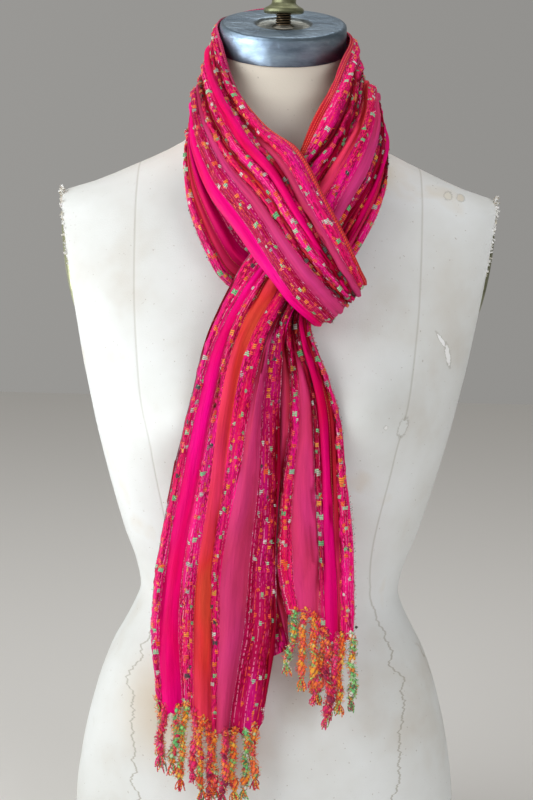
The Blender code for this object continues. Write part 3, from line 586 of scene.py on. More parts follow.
def rounded(profile, radius, steps=3):
    """Softens each corner of a closed section."""
    out = []
    count = len(profile)
    for k, point in enumerate(profile):
        here = np.array(point, float)
        before = np.array(profile[k - 1], float) - here
        after = np.array(profile[(k + 1) % count], float) - here
        reach = min(radius, 0.45 * np.linalg.norm(before), 0.45 * np.linalg.norm(after))
        if here[0] < 0.01 or reach < 0.01:
            out.append(tuple(here))
            continue
        a = here + before / np.linalg.norm(before) * reach
        b = here + after / np.linalg.norm(after) * reach
        for t in np.linspace(0, 1, steps):
            out.append(tuple((1 - t) ** 2 * a + 2 * t * (1 - t) * here + t**2 * b))
    return out


inner = CAP_RADIUS - CAP_WALL
cap_section = (
    (ROD_HOLE, -RECESS_DEPTH), (RECESS_RADIUS - 1.0, -RECESS_DEPTH), (RECESS_RADIUS + 1.0, 0.0),
    (40.0, 0.0), (CAP_RADIUS, 0.0), (CAP_RADIUS, -8.0), (CAP_RADIUS, -15.0), (CAP_RADIUS, -22.0),
    (CAP_RADIUS, -CAP_SKIRT), (inner, -CAP_SKIRT), (inner, -CAP_WALL), (RECESS_RADIUS + 0.4, -CAP_WALL),
    (RECESS_RADIUS - 1.6, -RECESS_DEPTH - CAP_WALL), (ROD_HOLE, -RECESS_DEPTH - CAP_WALL),
)
cap = spun("neck_cap_steel", rounded(cap_section, CAP_EDGE, 4), CAP_STEPS)
# Columns: turn, below, across, depth
DENTS = ((265, 12, 10, 0.5), (291, 19, 8, 0.45), (238, 22, 9, 0.5), (315, 9, 8, 0.4), (276, 25, 7, 0.4),
         (210, 14, 10, 0.5), (335, 20, 9, 0.4), (60, 15, 10, 0.4), (130, 12, 12, 0.5))
UNDENTED_RADIUS = CAP_RADIUS - 6
for vertex in cap.data.vertices:
    x, y, z = vertex.co / MM
    if math.hypot(x, y) < UNDENTED_RADIUS:
        continue
    for turn, below, across, depth in DENTS:
        angle = math.radians(turn)
        away = math.dist((x, y, z), (CAP_RADIUS * math.cos(angle), CAP_RADIUS * math.sin(angle), -below))
        push = depth * math.exp(-((away / across) ** 2) * 2)
        vertex.co -= Vector((x, y, 0)).normalized() * push * MM
cap.rotation_euler = (CAP_LEAN, 0, 0)
cap.location = Vector(CAP_MIDDLE) * MM
print("cap faces:", len(cap.data.polygons))

# %% [markdown]
# Zinc on pressed sheet is smooth and blue-grey, with soft wide reflections. Years of handling add smears a
# few millimetres across, small knocks in the top, and a beige film of dust and old oil down in the recess.

# %% Galvanised steel
zinc, tree, shader = new_material("worn_galvanised_steel")
place = add_node(tree, "TexCoord", {}, "Object")
smear_space = add_node(tree, "Mapping", {"Vector": place, "Scale": (1.0, 1.0, 3.5)})
smears = add_node(tree, "TexNoise", {"Vector": smear_space, "Scale": 28.0, "Detail": 6.0, "Roughness": 0.6})
tint = add_node(tree, "ValToRGB", {0: smears},
                stops=((0.28, "#5f6f7e"), (0.45, "#768796"), (0.6, "#8b9dac"), (0.75, "#a3b4c1")))
rough = add_node(tree, "MapRange", {0: smears, 1: 0.3, 2: 0.7, 3: 0.46, 4: 0.36})
cap_middle = tuple(v * MM for v in CAP_MIDDLE)
from_rod = add_node(tree, "VectorMath", {0: place, 1: cap_middle}, "Value", operation="DISTANCE")
film = add_node(tree, "MapRange", {0: from_rod, 1: 0.022, 2: 0.026, 3: 0.75, 4: 0.0})
filmed = add_node(tree, "MixRGB", {0: film, 1: tint, 2: "#a8a596"})
knocks = add_node(tree, "TexNoise", {"Vector": place, "Scale": 85.0, "Detail": 3.0, "Distortion": 0.6})
on_top = add_node(tree, "MapRange", {0: from_rod, 1: 0.052, 2: 0.056, 3: 1.0, 4: 0.15})
knock = add_node(tree, "Math", {0: knocks, 1: on_top}, operation="MULTIPLY")
bump = add_node(tree, "Bump", {"Strength": 0.5, "Distance": 0.004, "Height": knock})
feed(shader, {"Base Color": filmed, "Metallic": 1.0, "Roughness": rough, "Normal": bump})
smooth_below(settle(cap, "neck_cap_steel", zinc), 50)
declare(cap, "cap_steel", "neck_cap")
print("zinc nodes:", len(tree.nodes))

# %% [markdown]
# The form hangs on an upright rod with a coarse thread, and a flanged brass nut closes its top end. The
# thread is a round section whose radius rises and falls as it climbs, which reads as a real thread at this
# size. The nut is spun like the cap.

# %% The threaded rod and its nut
ROD_RADIUS = 7.0
ROD_TOP = 775.5
ROD_PITCH = 2.2
THREAD_DEPTH = 0.16
THREAD_CUTS = 84
NUT_FOOT = 756.0
NUT_HEIGHT = 24.0
NUT_BORE_DEPTH = 20.0
NUT_PROFILE = (
    (16.5, 0.0), (17.8, 2.0), (17.0, 4.5), (13.0, 6.5), (10.5, 8.5), (10.5, 18.0), (9.0, 21.5), (5.5, NUT_HEIGHT),
)
rod_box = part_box("threaded_rod")
rod_foot = rod_box[0].z
rod_y = (rod_box[0].y + rod_box[1].y) / 2
bpy.ops.mesh.primitive_cylinder_add(vertices=32, radius=ROD_RADIUS * MM, depth=ROD_TOP * MM - rod_foot,
                                    location=(0, rod_y, (ROD_TOP * MM + rod_foot) / 2))
rod = settle(bpy.context.object, "threaded_rod_steel")
cut_upright(rod, 0.01, THREAD_CUTS)
for vertex in rod.data.vertices:
    turn = math.atan2(vertex.co.y - rod_y, vertex.co.x) / (2 * math.pi)
    phase = (vertex.co.z / MM / ROD_PITCH - turn) % 1.0
    size = 1 - THREAD_DEPTH * abs(2 * phase - 1)
    vertex.co.x *= size
    vertex.co.y = rod_y + (vertex.co.y - rod_y) * size
black_steel, tree, shader = new_material("oil_blackened_steel")
place = add_node(tree, "TexCoord", {}, "Object")
oil = add_node(tree, "TexNoise", {"Vector": place, "Scale": 300.0, "Detail": 3.0})
rough = add_node(tree, "MapRange", {0: oil, 1: 0.3, 2: 0.7, 3: 0.35, 4: 0.65})
axle = add_node(tree, "Mapping", {"Vector": place, "Location": (0.0, -rod_y, 0.0), "Scale": (1.0, 1.0, 0.0)})
from_axle = add_node(tree, "VectorMath", {0: axle}, "Value", operation="LENGTH")
crest = add_node(tree, "MapRange", {0: from_axle, 1: 0.0062, 2: 0.0069, 3: 0.0, 4: 0.9})
crested = add_node(tree, "MixRGB", {0: crest, 1: "#1c1815", 2: "#a89276"})
feed(shader, {"Base Color": crested, "Metallic": 0.9, "Roughness": rough})
settle(rod, "threaded_rod_steel", black_steel)
bore = ROD_RADIUS + 0.35
nut_section = [(0.0, NUT_HEIGHT), *reversed(NUT_PROFILE), (bore, 0.0), (bore, NUT_BORE_DEPTH),
               (0.0, NUT_BORE_DEPTH)]
nut = spun("clamp_nut_brass", rounded(nut_section, 1.2, 3), 64)
nut.location = (0, rod_y, NUT_FOOT * MM)

# %% [markdown]
# Bare brass goes olive and brown as it ages. The colour is broken by noise a few millimetres wide, and the
# smooth parts stay glossier than the pitted ones.

# %% Aged brass, on the nut and the armhole plates
brass, tree, shader = new_material("aged_olive_brass")
place = add_node(tree, "TexCoord", {}, "Object")
tarnish = add_node(tree, "TexNoise", {"Vector": place, "Scale": 60.0, "Detail": 6.0, "Roughness": 0.65})
tint = add_node(tree, "ValToRGB", {0: tarnish},
                stops=((0.30, "#66674a"), (0.48, "#858767"), (0.62, "#9d9f80"), (0.76, "#b9bb9c")))
rough = add_node(tree, "MapRange", {0: tarnish, 1: 0.3, 2: 0.7, 3: 0.55, 4: 0.32})
bump = add_node(tree, "Bump", {"Strength": 0.15, "Distance": 0.0005, "Height": tarnish})
feed(shader, {"Base Color": tint, "Metallic": 0.85, "Roughness": rough, "Normal": bump})
settle(nut, "clamp_nut_brass", brass)
for thing, node, slot_name in ((rod, "threaded_rod", "rod_steel"), (nut, "clamp_nut", "nut_brass")):
    smooth_below(thing, 40)
    declare(thing, slot_name, node)
print("rod top at", round(ROD_TOP), "mm")

# %% [markdown]
# Each armhole plate is a shallow oval dome. It starts as half of a sphere, flattened to the oval's size,
# with a short straight rim that seats on the flat of the form.

# %% The armhole plates
PLATE_HALF_HEIGHT = 50.0
PLATE_HALF_DEPTH = 29.0
PLATE_CROWN = 7.0
for side, node in ((-1, "arm_plate_left"), (1, "arm_plate_right")):
    bpy.ops.mesh.primitive_uv_sphere_add(segments=64, ring_count=32, radius=1.0)
    plate = bpy.context.object
    bpy.ops.object.mode_set(mode="EDIT")
    bpy.ops.mesh.select_all(action="SELECT")
    bpy.ops.mesh.bisect(plane_co=(0, 0, 0.02), plane_no=(0, 0, 1), use_fill=True, clear_inner=True)
    tool_off()
    middle, turn = arm_plane(side)
    frame_turn = Matrix.Rotation(turn, 4, "Y") @ Matrix.Rotation(side * math.pi / 2, 4, "Y")
    plate.matrix_world = Matrix.Translation(middle) @ frame_turn @ Matrix.Diagonal(
        (PLATE_HALF_HEIGHT * MM, PLATE_HALF_DEPTH * MM, PLATE_CROWN * MM, 1))
    smooth_below(settle(plate, node + "_brass", brass), 50)
    declare(plate, "plate_brass", node)
print("plate size:", [round(d, 3) for d in plate.dimensions])

# %% [markdown]
# The scarf is one cloth about 0.5 m wide, gathered in the hand to less than a quarter of that. Folded double
# and looped, it shows as two strands. The strand that ends in the long tail starts at the fold, crosses the
# front, goes round the back of the neck and drops on the right. The other does the same one layer lower.
# Each strand is described as a cutter would mark it: lines drawn across the cloth at named places, and how
# much of each stripe shows at each place, where less than nothing means folded back behind.

# %% The two strands, in millimetres
# Columns: place, ax, ay, az, bx, by, bz, crown
OVER_STATIONS = (
    ("flap", 60, -109, 538, 22, -106, 502, 0.0),
    ("turn_in", 68, -113, 536, 29, -110, 498, 1.5),
    ("turn", 73, -128, 534, 33, -124, 496, 4.0),
    ("turn_out", 68, -142, 544, 28, -139, 501, 6.0),
    ("front_low", 54, -150, 573, 10, -150, 516, 8.0),
    ("front", 34, -147, 608, -11, -152, 543, 9.0),
    ("front_high", 13, -132, 642, -33, -145, 573, 8.0),
    ("collar", -13, -108, 661, -60, -124, 607, 8.0),
    ("collar_high", -33, -84, 683, -75, -96, 640, 7.0),
    ("left_front", -49, -50, 713, -78, -56, 668, 4.0),
    ("left", -57, -12, 744, -78, -5, 672, 1.5),
    ("left_back", -43, 34, 757, -66, 56, 674, 3.0),
    ("back", 0, 51, 764, 0, 84, 674, 4.0),
    ("right_back", 45, 34, 748, 69, 56, 670, 3.0),
    ("right", 60, -12, 735, 84, -5, 668, 2.0),
    ("right_front", 52, -46, 717, 82, -44, 675, 5.0),
    ("drop_side", 41, -74, 693, 87, -74, 652, 7.0),
    ("drop", 28, -97, 670, 78, -104, 619, 8.0),
    ("drop_low", 13, -113, 640, 56, -121, 583, 8.0),
    ("under", -6, -122, 603, 36, -128, 550, 7.0),
    ("knot", -20, -127, 562, 17, -131, 519, 6.0),
    ("tail_top", -33, -129, 541, 10, -134, 504, 6.0),
    ("tail_high", -54, -134, 496, 7, -138, 490, 7.0),
    ("tail_breast", -69, -138, 437, 4, -141, 439, 7.0),
    ("tail", -83, -137, 369, 5, -140, 372, 6.0),
    ("tail_low", -96, -134, 290, 4, -137, 302, 5.0),
    ("tail_hip", -99, -131, 233, 5, -135, 230, 4.0),
    ("hem", -93, -129, 185, -4, -133, 163, 3.0),
)
UNDER_STATIONS = (
    ("start", 60, -110.4, 538, 22, -107.4, 502, 0.0),
    ("behind", 31, -106, 557, -4, -105, 516, 2.0),
    ("under_knot", 3, -103, 581, -28, -103, 523, 3.0),
    ("corner", -18, -103, 602, -44, -106, 530, 4.0),
    ("low", -33, -104, 622, -60, -112, 557, 5.0),
    ("mid", -45, -96, 639, -74, -108, 591, 6.0),
    ("high", -55, -78, 654, -80, -88, 622, 6.0),
    ("left_front", -62, -48, 676, -80, -54, 644, 3.0),
    ("left", -60, -5, 702, -83, 0, 650, 2.0),
    ("left_back", -50, 48, 704, -70, 74, 634, 3.0),
    ("back", 0, 74, 706, 0, 97, 618, 4.0),
    ("right_back", 52, 50, 704, 74, 76, 634, 3.0),
    ("right", 66, -4, 700, 92, 0, 646, 2.0),
    ("right_front", 71, -42, 684, 91, -46, 647, 3.0),
    ("drop_side", 72, -68, 657, 91, -78, 627, 5.0),
    ("drop", 58, -92, 624, 84, -100, 597, 6.0),
    ("drop_low", 40, -106, 591, 67, -112, 562, 6.0),
    ("under", 19, -113, 549, 44, -117, 526, 5.0),
    ("knot", 2, -116, 517, 28, -120, 500, 4.0),
    ("tail_top", -3, -118, 492, 34, -125, 478, 4.0),
    ("tail_high", -4, -121, 466, 44, -131, 455, 5.0),
    ("tail_breast", -6, -124, 434, 52, -134, 431, 5.0),
    ("tail", -10, -124, 369, 62, -133, 367, 5.0),
    ("tail_low", -11, -122, 298, 69, -130, 309, 4.0),
    ("hem", -9, -120, 239, 72, -128, 257, 3.0),
)

# The stripes of each strand from edge a to edge b. Cloth is the stripe's width laid flat.
# At each place, share is how much of the strand's width the stripe shows (less than nothing where it is
# folded back behind) and lift is how far its middle stands out. Hem is how far its end hangs below the line.
OVER_PLACES = (
    ("turn", "turn"), ("band", "front"), ("high", "collar_high"), ("neck", "back"), ("drop", "drop"),
    ("knot", "knot"), ("tail", "tail_breast"), ("low", "tail_low"), ("hem", "hem"),
)
# Columns: stripe, cloth, turn, band, high, neck, drop, knot, tail, low, hem, drop of hem
OVER_STRIPES = (
    ("coral_edge", 10, (5, 0), (4, -1), (2, -1), (2, -1), (8, 0), (-4, -6), (-3, -6), (-3, -5), (-3, -4), 0),
    ("slub_1", 30, (9, -1), (17, 3), (13, 2), (11, 2), (18, 2), (-8, -6), (-7, -6), (-6, -5), (-6, -5), 0),
    ("mauve_1", 25, (12, 1), (9, 0), (3, -3), (9, 0), (2, -3), (-6, -4), (-6, -4), (-5, -4), (-5, -3), 2),
    ("slub_2", 25, (3, -1), (4, -2), (4, -1), (9, -2), (10, 1), (25, 2), (10, 2), (9, 1), (5, 1), 6),
    ("pink_1", 25, (3, -1), (9, 2), (15, 2), (9, 2), (2, -3), (10, -1), (17, -1), (16, 0), (20, 2), 11),
    ("slub_3", 30, (6, -1), (11, 1), (13, 1), (11, 0), (3, -3), (10, -1), (6, 3), (13, 3), (11, -2), 4),
    ("coral_2", 20, (3, -1), (3, -2), (3, -2), (8, -2), (9, 2), (22, 2), (16, 4), (13, 1), (18, 2), 11),
    ("slub_4", 25, (5, 0), (5, -1), (8, 0), (9, 1), (18, 2), (22, 1), (21, 0), (7, -3), (5, -2), 22),
    ("mauve_2", 25, (21, 1), (13, 1), (6, -1), (9, 0), (13, 1), (3, -3), (12, 4), (26, 2), (13, 2), 17),
    ("slub_5", 30, (22, 1), (19, 1), (18, 2), (11, 2), (6, -3), (8, 0), (20, -8), (25, -7), (32, -4), 14),
    ("pink_2", 25, (12, 0), (13, -2), (13, -1), (9, 0), (4, -1), (4, -1), (-3, -9), (-3, -9), (-3, -6), 3),
)
OVER_FOLD = 3
UNDER_PLACES = (
    ("behind", "corner"), ("neck", "back"), ("drop", "drop"), ("knot", "knot"),
    ("tail", "tail_breast"), ("low", "tail_low"), ("hem", "hem"),
)
# Columns: stripe, cloth, behind, neck, drop, knot, tail, low, hem, drop of hem
UNDER_STRIPES = (
    ("slub_a", 30, (10, 1), (14, 1), (14, 1), (18, 1), (17, -3), (11, -4), (33, -3), 27),
    ("rose_a", 25, (8, -2), (12, 0), (10, -2), (5, -3), (15, -1), (7, -2), (-3, -5), 20),
    ("slub_b", 25, (8, 1), (12, -1), (14, 2), (20, 1), (12, 3), (15, 2), (12, 2), -12),
    ("rose_b", 25, (8, -1), (12, 1), (10, -2), (5, -3), (16, 1), (30, 2), (22, 1), -9),
    ("slub_c", 25, (15, 0), (12, -1), (12, 1), (12, 1), (5, -3), (5, -2), (7, -1), 8),
    ("pink_c", 25, (15, 2), (12, 1), (14, 2), (18, 2), (14, 3), (12, 2), (12, 2), 15),
    ("coral_c", 20, (11, 0), (11, -1), (8, -2), (6, -2), (4, -3), (3, -2), (4, -2), 18),
    ("slub_d", 30, (10, 0), (14, 0), (14, 0), (16, 0), (9, 0), (15, 0), (14, 0), 19),
)
UNDER_FOLD = 0
HEM_RAMP = 70.0
HEM_CREASE = 2.0


def stripe_starts(stripes):
    """Where each stripe starts and ends across the cloth, in millimetres."""
    out, start = [], 0.0
    for row in stripes:
        out.append((row[0], start, start + row[1]))
        start += row[1]
    return out


for stations, stripes in ((OVER_STATIONS, OVER_STRIPES), (UNDER_STATIONS, UNDER_STRIPES)):
    print(len(stations), "places,", len(stripes), "stripes,", round(stripe_starts(stripes)[-1][2]), "mm of cloth")

# %% [markdown]
# Cloth does not pass through what it lies on. Each strand is first swept along its lines, then every point
# that would sink into the form or its cap is moved out, and then every point that would sink into an earlier
# strand is lifted over it. The lifts are spread over their surroundings, so a patch moves together.

# %% Lay cloth over the form and over cloth
CLOTH = 1.3
FORM_CLEAR = 1.1
LAYER_CLEAR = 1.8
FINE_STEP = 6.0
LOOK_ABOVE = 45.0
LOOK_BELOW = 14.0
LIFT_REACH = 2
PUSH_ROUNDS = 6
PROBE = 0.4
PUSH_MOST = 12
CAP_PUSH_MOST = 20
CAP_FADE = (16, 10)


def off_the_form(points, gap):
    """Points moved out to stand at least this gap from the form, its neck and its cap."""
    flat = points.reshape(-1, 3).copy()
    for _ in range(PUSH_ROUNDS):
        level = form_level(flat)
        slope = np.stack([(form_level(flat + PROBE * axis) - level) / PROBE for axis in np.eye(3)], axis=1)
        steep = np.maximum(np.linalg.norm(slope, axis=1), 1e-6)
        short = np.clip(gap - (level - 1) / steep, 0, PUSH_MOST)
        flat += (short / steep)[:, None] * slope
    axis = np.array((0.0, -math.sin(CAP_LEAN), math.cos(CAP_LEAN)))
    along = (flat - CAP_MIDDLE) @ axis
    out = flat - np.array(CAP_MIDDLE) - along[:, None] * axis
    radius = np.linalg.norm(out, axis=1)
    near = np.clip((along + CAP_SKIRT + CAP_FADE[0]) / CAP_FADE[1], 0, 1)
    short = np.clip(CAP_RADIUS + gap - radius, 0, CAP_PUSH_MOST) * near
    flat += out / np.maximum(radius, 1e-6)[:, None] * short[:, None]
    return flat.reshape(points.shape)


def softened(field, axes):
    """Each value averaged with its two neighbours, along one axis after another."""
    for axis in axes:
        ends = np.concatenate([field.take([0], axis), field, field.take([-1], axis)], axis)
        field = sum(ends.take(range(k, k + field.shape[axis]), axis) for k in range(3)) / 3
    return field


def spread(field, reach):
    """The greatest push within reach, then softened, so a whole patch of cloth moves together."""
    for axis in (0, 1):
        wide = field
        for k in range(1, reach + 1):
            for way in (-k, k):
                moved = np.roll(field, way, axis)
                edge = [slice(None), slice(None)]
                edge[axis] = slice(0, k) if way > 0 else slice(-k, None)
                moved[tuple(edge)] = field[tuple(edge)]
                wide = np.maximum(wide, moved)
        field = wide
    return softened(field, (0, 1, 0, 1))


def over_the_layers(points, outward, layers, gap):
    """Cloth lifted outward until it lies over every earlier layer."""
    push = np.zeros(points.shape[:2])
    for i in range(points.shape[0]):
        way = Vector(outward[i])
        for j in range(points.shape[1]):
            start = Vector(points[i, j]) + way * LOOK_ABOVE
            for tree in layers:
                hit = tree.ray_cast(start, -way, LOOK_ABOVE + LOOK_BELOW)
                if hit[0] is not None:
                    push[i, j] = max(push[i, j], LOOK_ABOVE - hit[3] + gap)
    return points + spread(push, LIFT_REACH)[..., None] * outward[:, None, :]


class Strand:
    """One half of the folded scarf as a smooth cloth: places along it, stripes across it."""

    def __init__(self, stations, places, stripes, fold):
        names = [row[0] for row in stations]
        rows = np.array([row[1:] for row in stations], float)
        middle = (rows[:, 0:3] + rows[:, 3:6]) / 2
        step = np.linalg.norm(np.diff(middle, axis=0), axis=1)
        width = np.linalg.norm(rows[:, 3:6] - rows[:, 0:3], axis=1)
        step = np.maximum(step, 0.15 * (width[1:] + width[:-1]) / 2)
        self.along = np.concatenate([[0.0], np.cumsum(step)])
        self.rows = rows
        self.at_place = dict(zip(names, self.along))
        self.fold = fold
        cloth = np.array([row[1] for row in stripes], float)
        ends = np.concatenate([[0.0], np.cumsum(cloth)])
        self.across = np.sort(np.concatenate([ends, (ends[1:] + ends[:-1]) / 2]))
        self.place_at = [self.at_place[where] for _, where in places]
        self.profile = np.array([self.folds([row[2 + k] for row in stripes]) for k in range(len(places))])
        drop = np.array([row[-1] for row in stripes], float)
        self.hem_drop = self.by_line(drop, 0.0)

    def by_line(self, middle, crease):
        """Values at stripe edges and middles in turn; an edge lies between its neighbours."""
        edge = np.concatenate([middle[:1], np.minimum(middle[1:], middle[:-1]) * 0.5
                               + (middle[1:] + middle[:-1]) * 0.25, middle[-1:]]) - crease
        line = np.zeros(2 * len(middle) + 1)
        line[0::2] = edge
        line[1::2] = middle
        return line

    def folds(self, pairs):
        """Where each line lies across the strand, from 0 to 1, and how far it stands out."""
        share = np.array([pair[0] for pair in pairs], float)
        lift = np.array([pair[1] for pair in pairs], float)
        ends = np.concatenate([[0.0], np.cumsum(share)])
        line = np.zeros(2 * len(share) + 1)
        line[0::2] = ends
        line[1::2] = (ends[1:] + ends[:-1]) / 2
        line = (line - line.min()) / (line.max() - line.min())
        return np.stack([line, self.by_line(lift, HEM_CREASE)], axis=1)

    def surface(self, along, lines):
        """Points of the outer face and the outward directions, before it is laid over the rest."""
        row = flowing(self.along, self.rows, along)
        a, b, crown = row[:, 0:3], row[:, 3:6], row[:, 6]
        middle = (a + b) / 2
        travel = unit(np.gradient(middle, along, axis=0))
        outward = unit(np.cross(travel, unit(b - a)))
        profile = through(self.place_at, self.profile, along)[:, lines, :]
        where = profile[..., 0]
        lift = profile[..., 1] + crown[:, None] * (1 - np.abs(2 * where - 1) ** 3)
        points = a[:, None] + where[..., None] * (b - a)[:, None] + lift[..., None] * outward[:, None]
        ramp = np.clip((along - self.along[-1] + HEM_RAMP) / HEM_RAMP, 0, 1) ** 2
        points[..., 2] -= ramp[:, None] * self.hem_drop[lines][None, :]
        return points, outward


def grid_faces(rows, columns):
    """Quads of a grid of points."""
    return [(i * columns + j, i * columns + j + 1, (i + 1) * columns + j + 1, (i + 1) * columns + j)
            for i in range(rows - 1) for j in range(columns - 1)]


def laid_surface(strand, layers):
    """The strand laid over the form and over the layers already there, on a working grid."""
    count = int(strand.along[-1] / FINE_STEP)
    along = np.unique(np.concatenate([np.linspace(0, strand.along[-1], count), strand.along]))
    points, outward = strand.surface(along, np.arange(len(strand.across)))
    points = off_the_form(points, CLOTH + FORM_CLEAR)
    points = over_the_layers(points, outward, layers, CLOTH + LAYER_CLEAR)
    return along, points


def as_tree(points):
    """The grid as something a ray can meet."""
    rows, columns = points.shape[:2]
    corners = [tuple(float(v) for v in p) for p in points.reshape(-1, 3)]
    return BVHTree.FromPolygons(corners, grid_faces(rows, columns))


under = Strand(UNDER_STATIONS, UNDER_PLACES, UNDER_STRIPES, UNDER_FOLD)
over = Strand(OVER_STATIONS, OVER_PLACES, OVER_STRIPES, OVER_FOLD)
under_along, under_laid = laid_surface(under, [])
over_along, over_laid = laid_surface(over, [as_tree(under_laid)])
print("cloth in the two strands:", round(over.along[-1]), "and", round(under.along[-1]), "mm long")

# %% [markdown]
# A woven band of slub yarn shrinks more than the plain satin beside it, so it puckers every few millimetres
# while the satin only ripples along its length. The working grid is refined to about 2 mm and given those
# ripples as small pushes along its own normals. Sharp creases run down the satin, broader waves and a slow
# wander of the stripes keep the folds from running parallel like pipes, and the hem is drawn into a funnel
# at each strand of the fringe. Each place also keeps how shut in it is by the cloth around it and how sunk it
# is in a narrow crease, which is painted as shade into the colour of the cloth and of the yarn on it.
# A grid primitive then takes those places, keeps its quads, and gets a real thickness from Solidify.

# %% Where the fringe hangs
# Columns: at, length, sideways, forward, yarns
LONG_FRINGE = (
    (0.045, 68, 2, 1, "green"), (0.13, 56, -6, 2, "pink"), (0.21, 62, -3, 0, "mixed"), (0.29, 78, -4, 2, "orange"),
    (0.37, 66, -2, 1, "pink"), (0.445, 76, 1, 0, "orange"), (0.525, 76, 2, 2, "crimson"), (0.605, 62, 1, 1, "mixed"),
    (0.685, 68, 0, 2, "crimson"), (0.765, 66, 0, 0, "orange"), (0.845, 64, 0, 1, "green"), (0.93, 60, 1, 2, "mixed"),
)
SHORT_FRINGE = (
    (0.02, 60, -5, 0, "green"), (0.17, 72, -1, 1, "mixed"), (0.29, 68, 2, 2, "orange"), (0.40, 76, 0, 1, "pink"),
    (0.51, 70, -2, 0, "mixed"), (0.62, 78, 3, 1, "crimson"), (0.73, 84, -5, 2, "pink"), (0.84, 72, -2, 1, "orange"),
    (0.95, 70, 2, 0, "green"),
)
OVER_FRINGE_FROM = 4
UNDER_FRINGE_FROM = 3
print("fringe strands:", len(LONG_FRINGE), "and", len(SHORT_FRINGE))

# %% Refine, pucker and thicken
WALL = 0.9
ROW_STEP = 2.3
PUCKER_HEIGHT = 0.85
SATIN_RIPPLE = 0.55
CREASE_DEPTH = 1.5
STRIPE_WANDER = 6.0
BROAD_WRINKLE = 1.1
TUCK_WRINKLE = 2.2
TUCK_LENGTH = 38.0
CREASE_NARROW = 0.16
LEAN_OF_CREASES = 5.0
CALM_HEM = 60
STRIPE_EDGE = 2.5
WAVE_NET = 256
FUNNEL_DEPTH = 8.0
FUNNEL_WIDTH = 3.2
FUNNEL_LENGTH = 14.0
FUNNEL_PULL = 0.45
FUNNEL_PULL_WIDTH = 4.5
FOLD_LOOK = 32
FOLD_REACH = 34.0
LOOK_FROM = 1.2
GOLDEN_TURN = 2.39996
CREASE_REACHES = (1, 2)
PAINTED_CREASE_SHADE = 0.16
CREASE_LIMITS = (-0.25, 0.5)
SHADE_STEPS = (4, 2)
OVER_COLUMNS_OF_GRID = 78
UNDER_COLUMNS_OF_GRID = 60
NO_TUCK = -200.0
# Columns: kind, across, along, seed
WAVES = {
    "pucker": (7.0, 5.5, 0), "fine pucker": (4.0, 12.0, 1), "satin": (11.0, 60.0, 2), "fine satin": (5.0, 22.0, 3),
    "wander": (70.0, 110.0, 5), "broad": (24.0, 75.0, 6), "cross": (20.0, 9.0, 7), "lean": (90.0, 60.0, 8),
    "crease": (8.0, 150.0, 9), "crease here": (16.0, 45.0, 10),
}


def ripples(across, along, size_across, size_along, seed):
    """Smooth random waves from -1 to 1 with the given sizes in millimetres."""
    rng = np.random.default_rng(seed)
    net = rng.uniform(-1, 1, (WAVE_NET, WAVE_NET))
    x, y = across / size_across, along / size_along
    i, j = np.floor(x).astype(int), np.floor(y).astype(int)
    u, v = x - i, y - j
    u, v = u * u * (3 - 2 * u), v * v * (3 - 2 * v)
    i, j, right, above = (k % WAVE_NET for k in (i, j, i + 1, j + 1))
    a = net[i, j] * (1 - u) + net[right, j] * u
    b = net[i, above] * (1 - u) + net[right, above] * u
    return a * (1 - v) + b * v


def stripe_share(stripes, across, word):
    """How much a point across the cloth belongs to stripes whose name has the word, softened at edges."""
    share = np.zeros_like(across)
    for name, start, end in stripe_starts(stripes):
        if word in name:
            share = np.maximum(share, np.clip(np.minimum(across - start, end - across) / STRIPE_EDGE, 0, 1))
    return share


def shut_in(points, facing, layers):
    """How much cloth stands over each point, from 0 in the open to 1 at the bottom of a deep fold."""
    turn = np.arange(FOLD_LOOK) * GOLDEN_TURN
    rise = np.sqrt(1 - (np.arange(FOLD_LOOK) + 0.5) / FOLD_LOOK)
    flat = np.sqrt(1 - rise**2)
    around = np.stack([flat * np.cos(turn), flat * np.sin(turn), rise], axis=1)
    shade = np.zeros(points.shape[:2])
    for i in range(points.shape[0]):
        for j in range(points.shape[1]):
            frame = Vector(facing[i, j]).to_track_quat("Z", "Y").to_matrix()
            start = Vector(points[i, j] + LOOK_FROM * facing[i, j])
            for way in around:
                for layer in layers:
                    hit = layer.ray_cast(start, frame @ Vector(way), FOLD_REACH)
                    if hit[0] is not None:
                        shade[i, j] += 1 - hit[3] / FOLD_REACH
                        break
    return softened(shade / FOLD_LOOK, (0, 1))


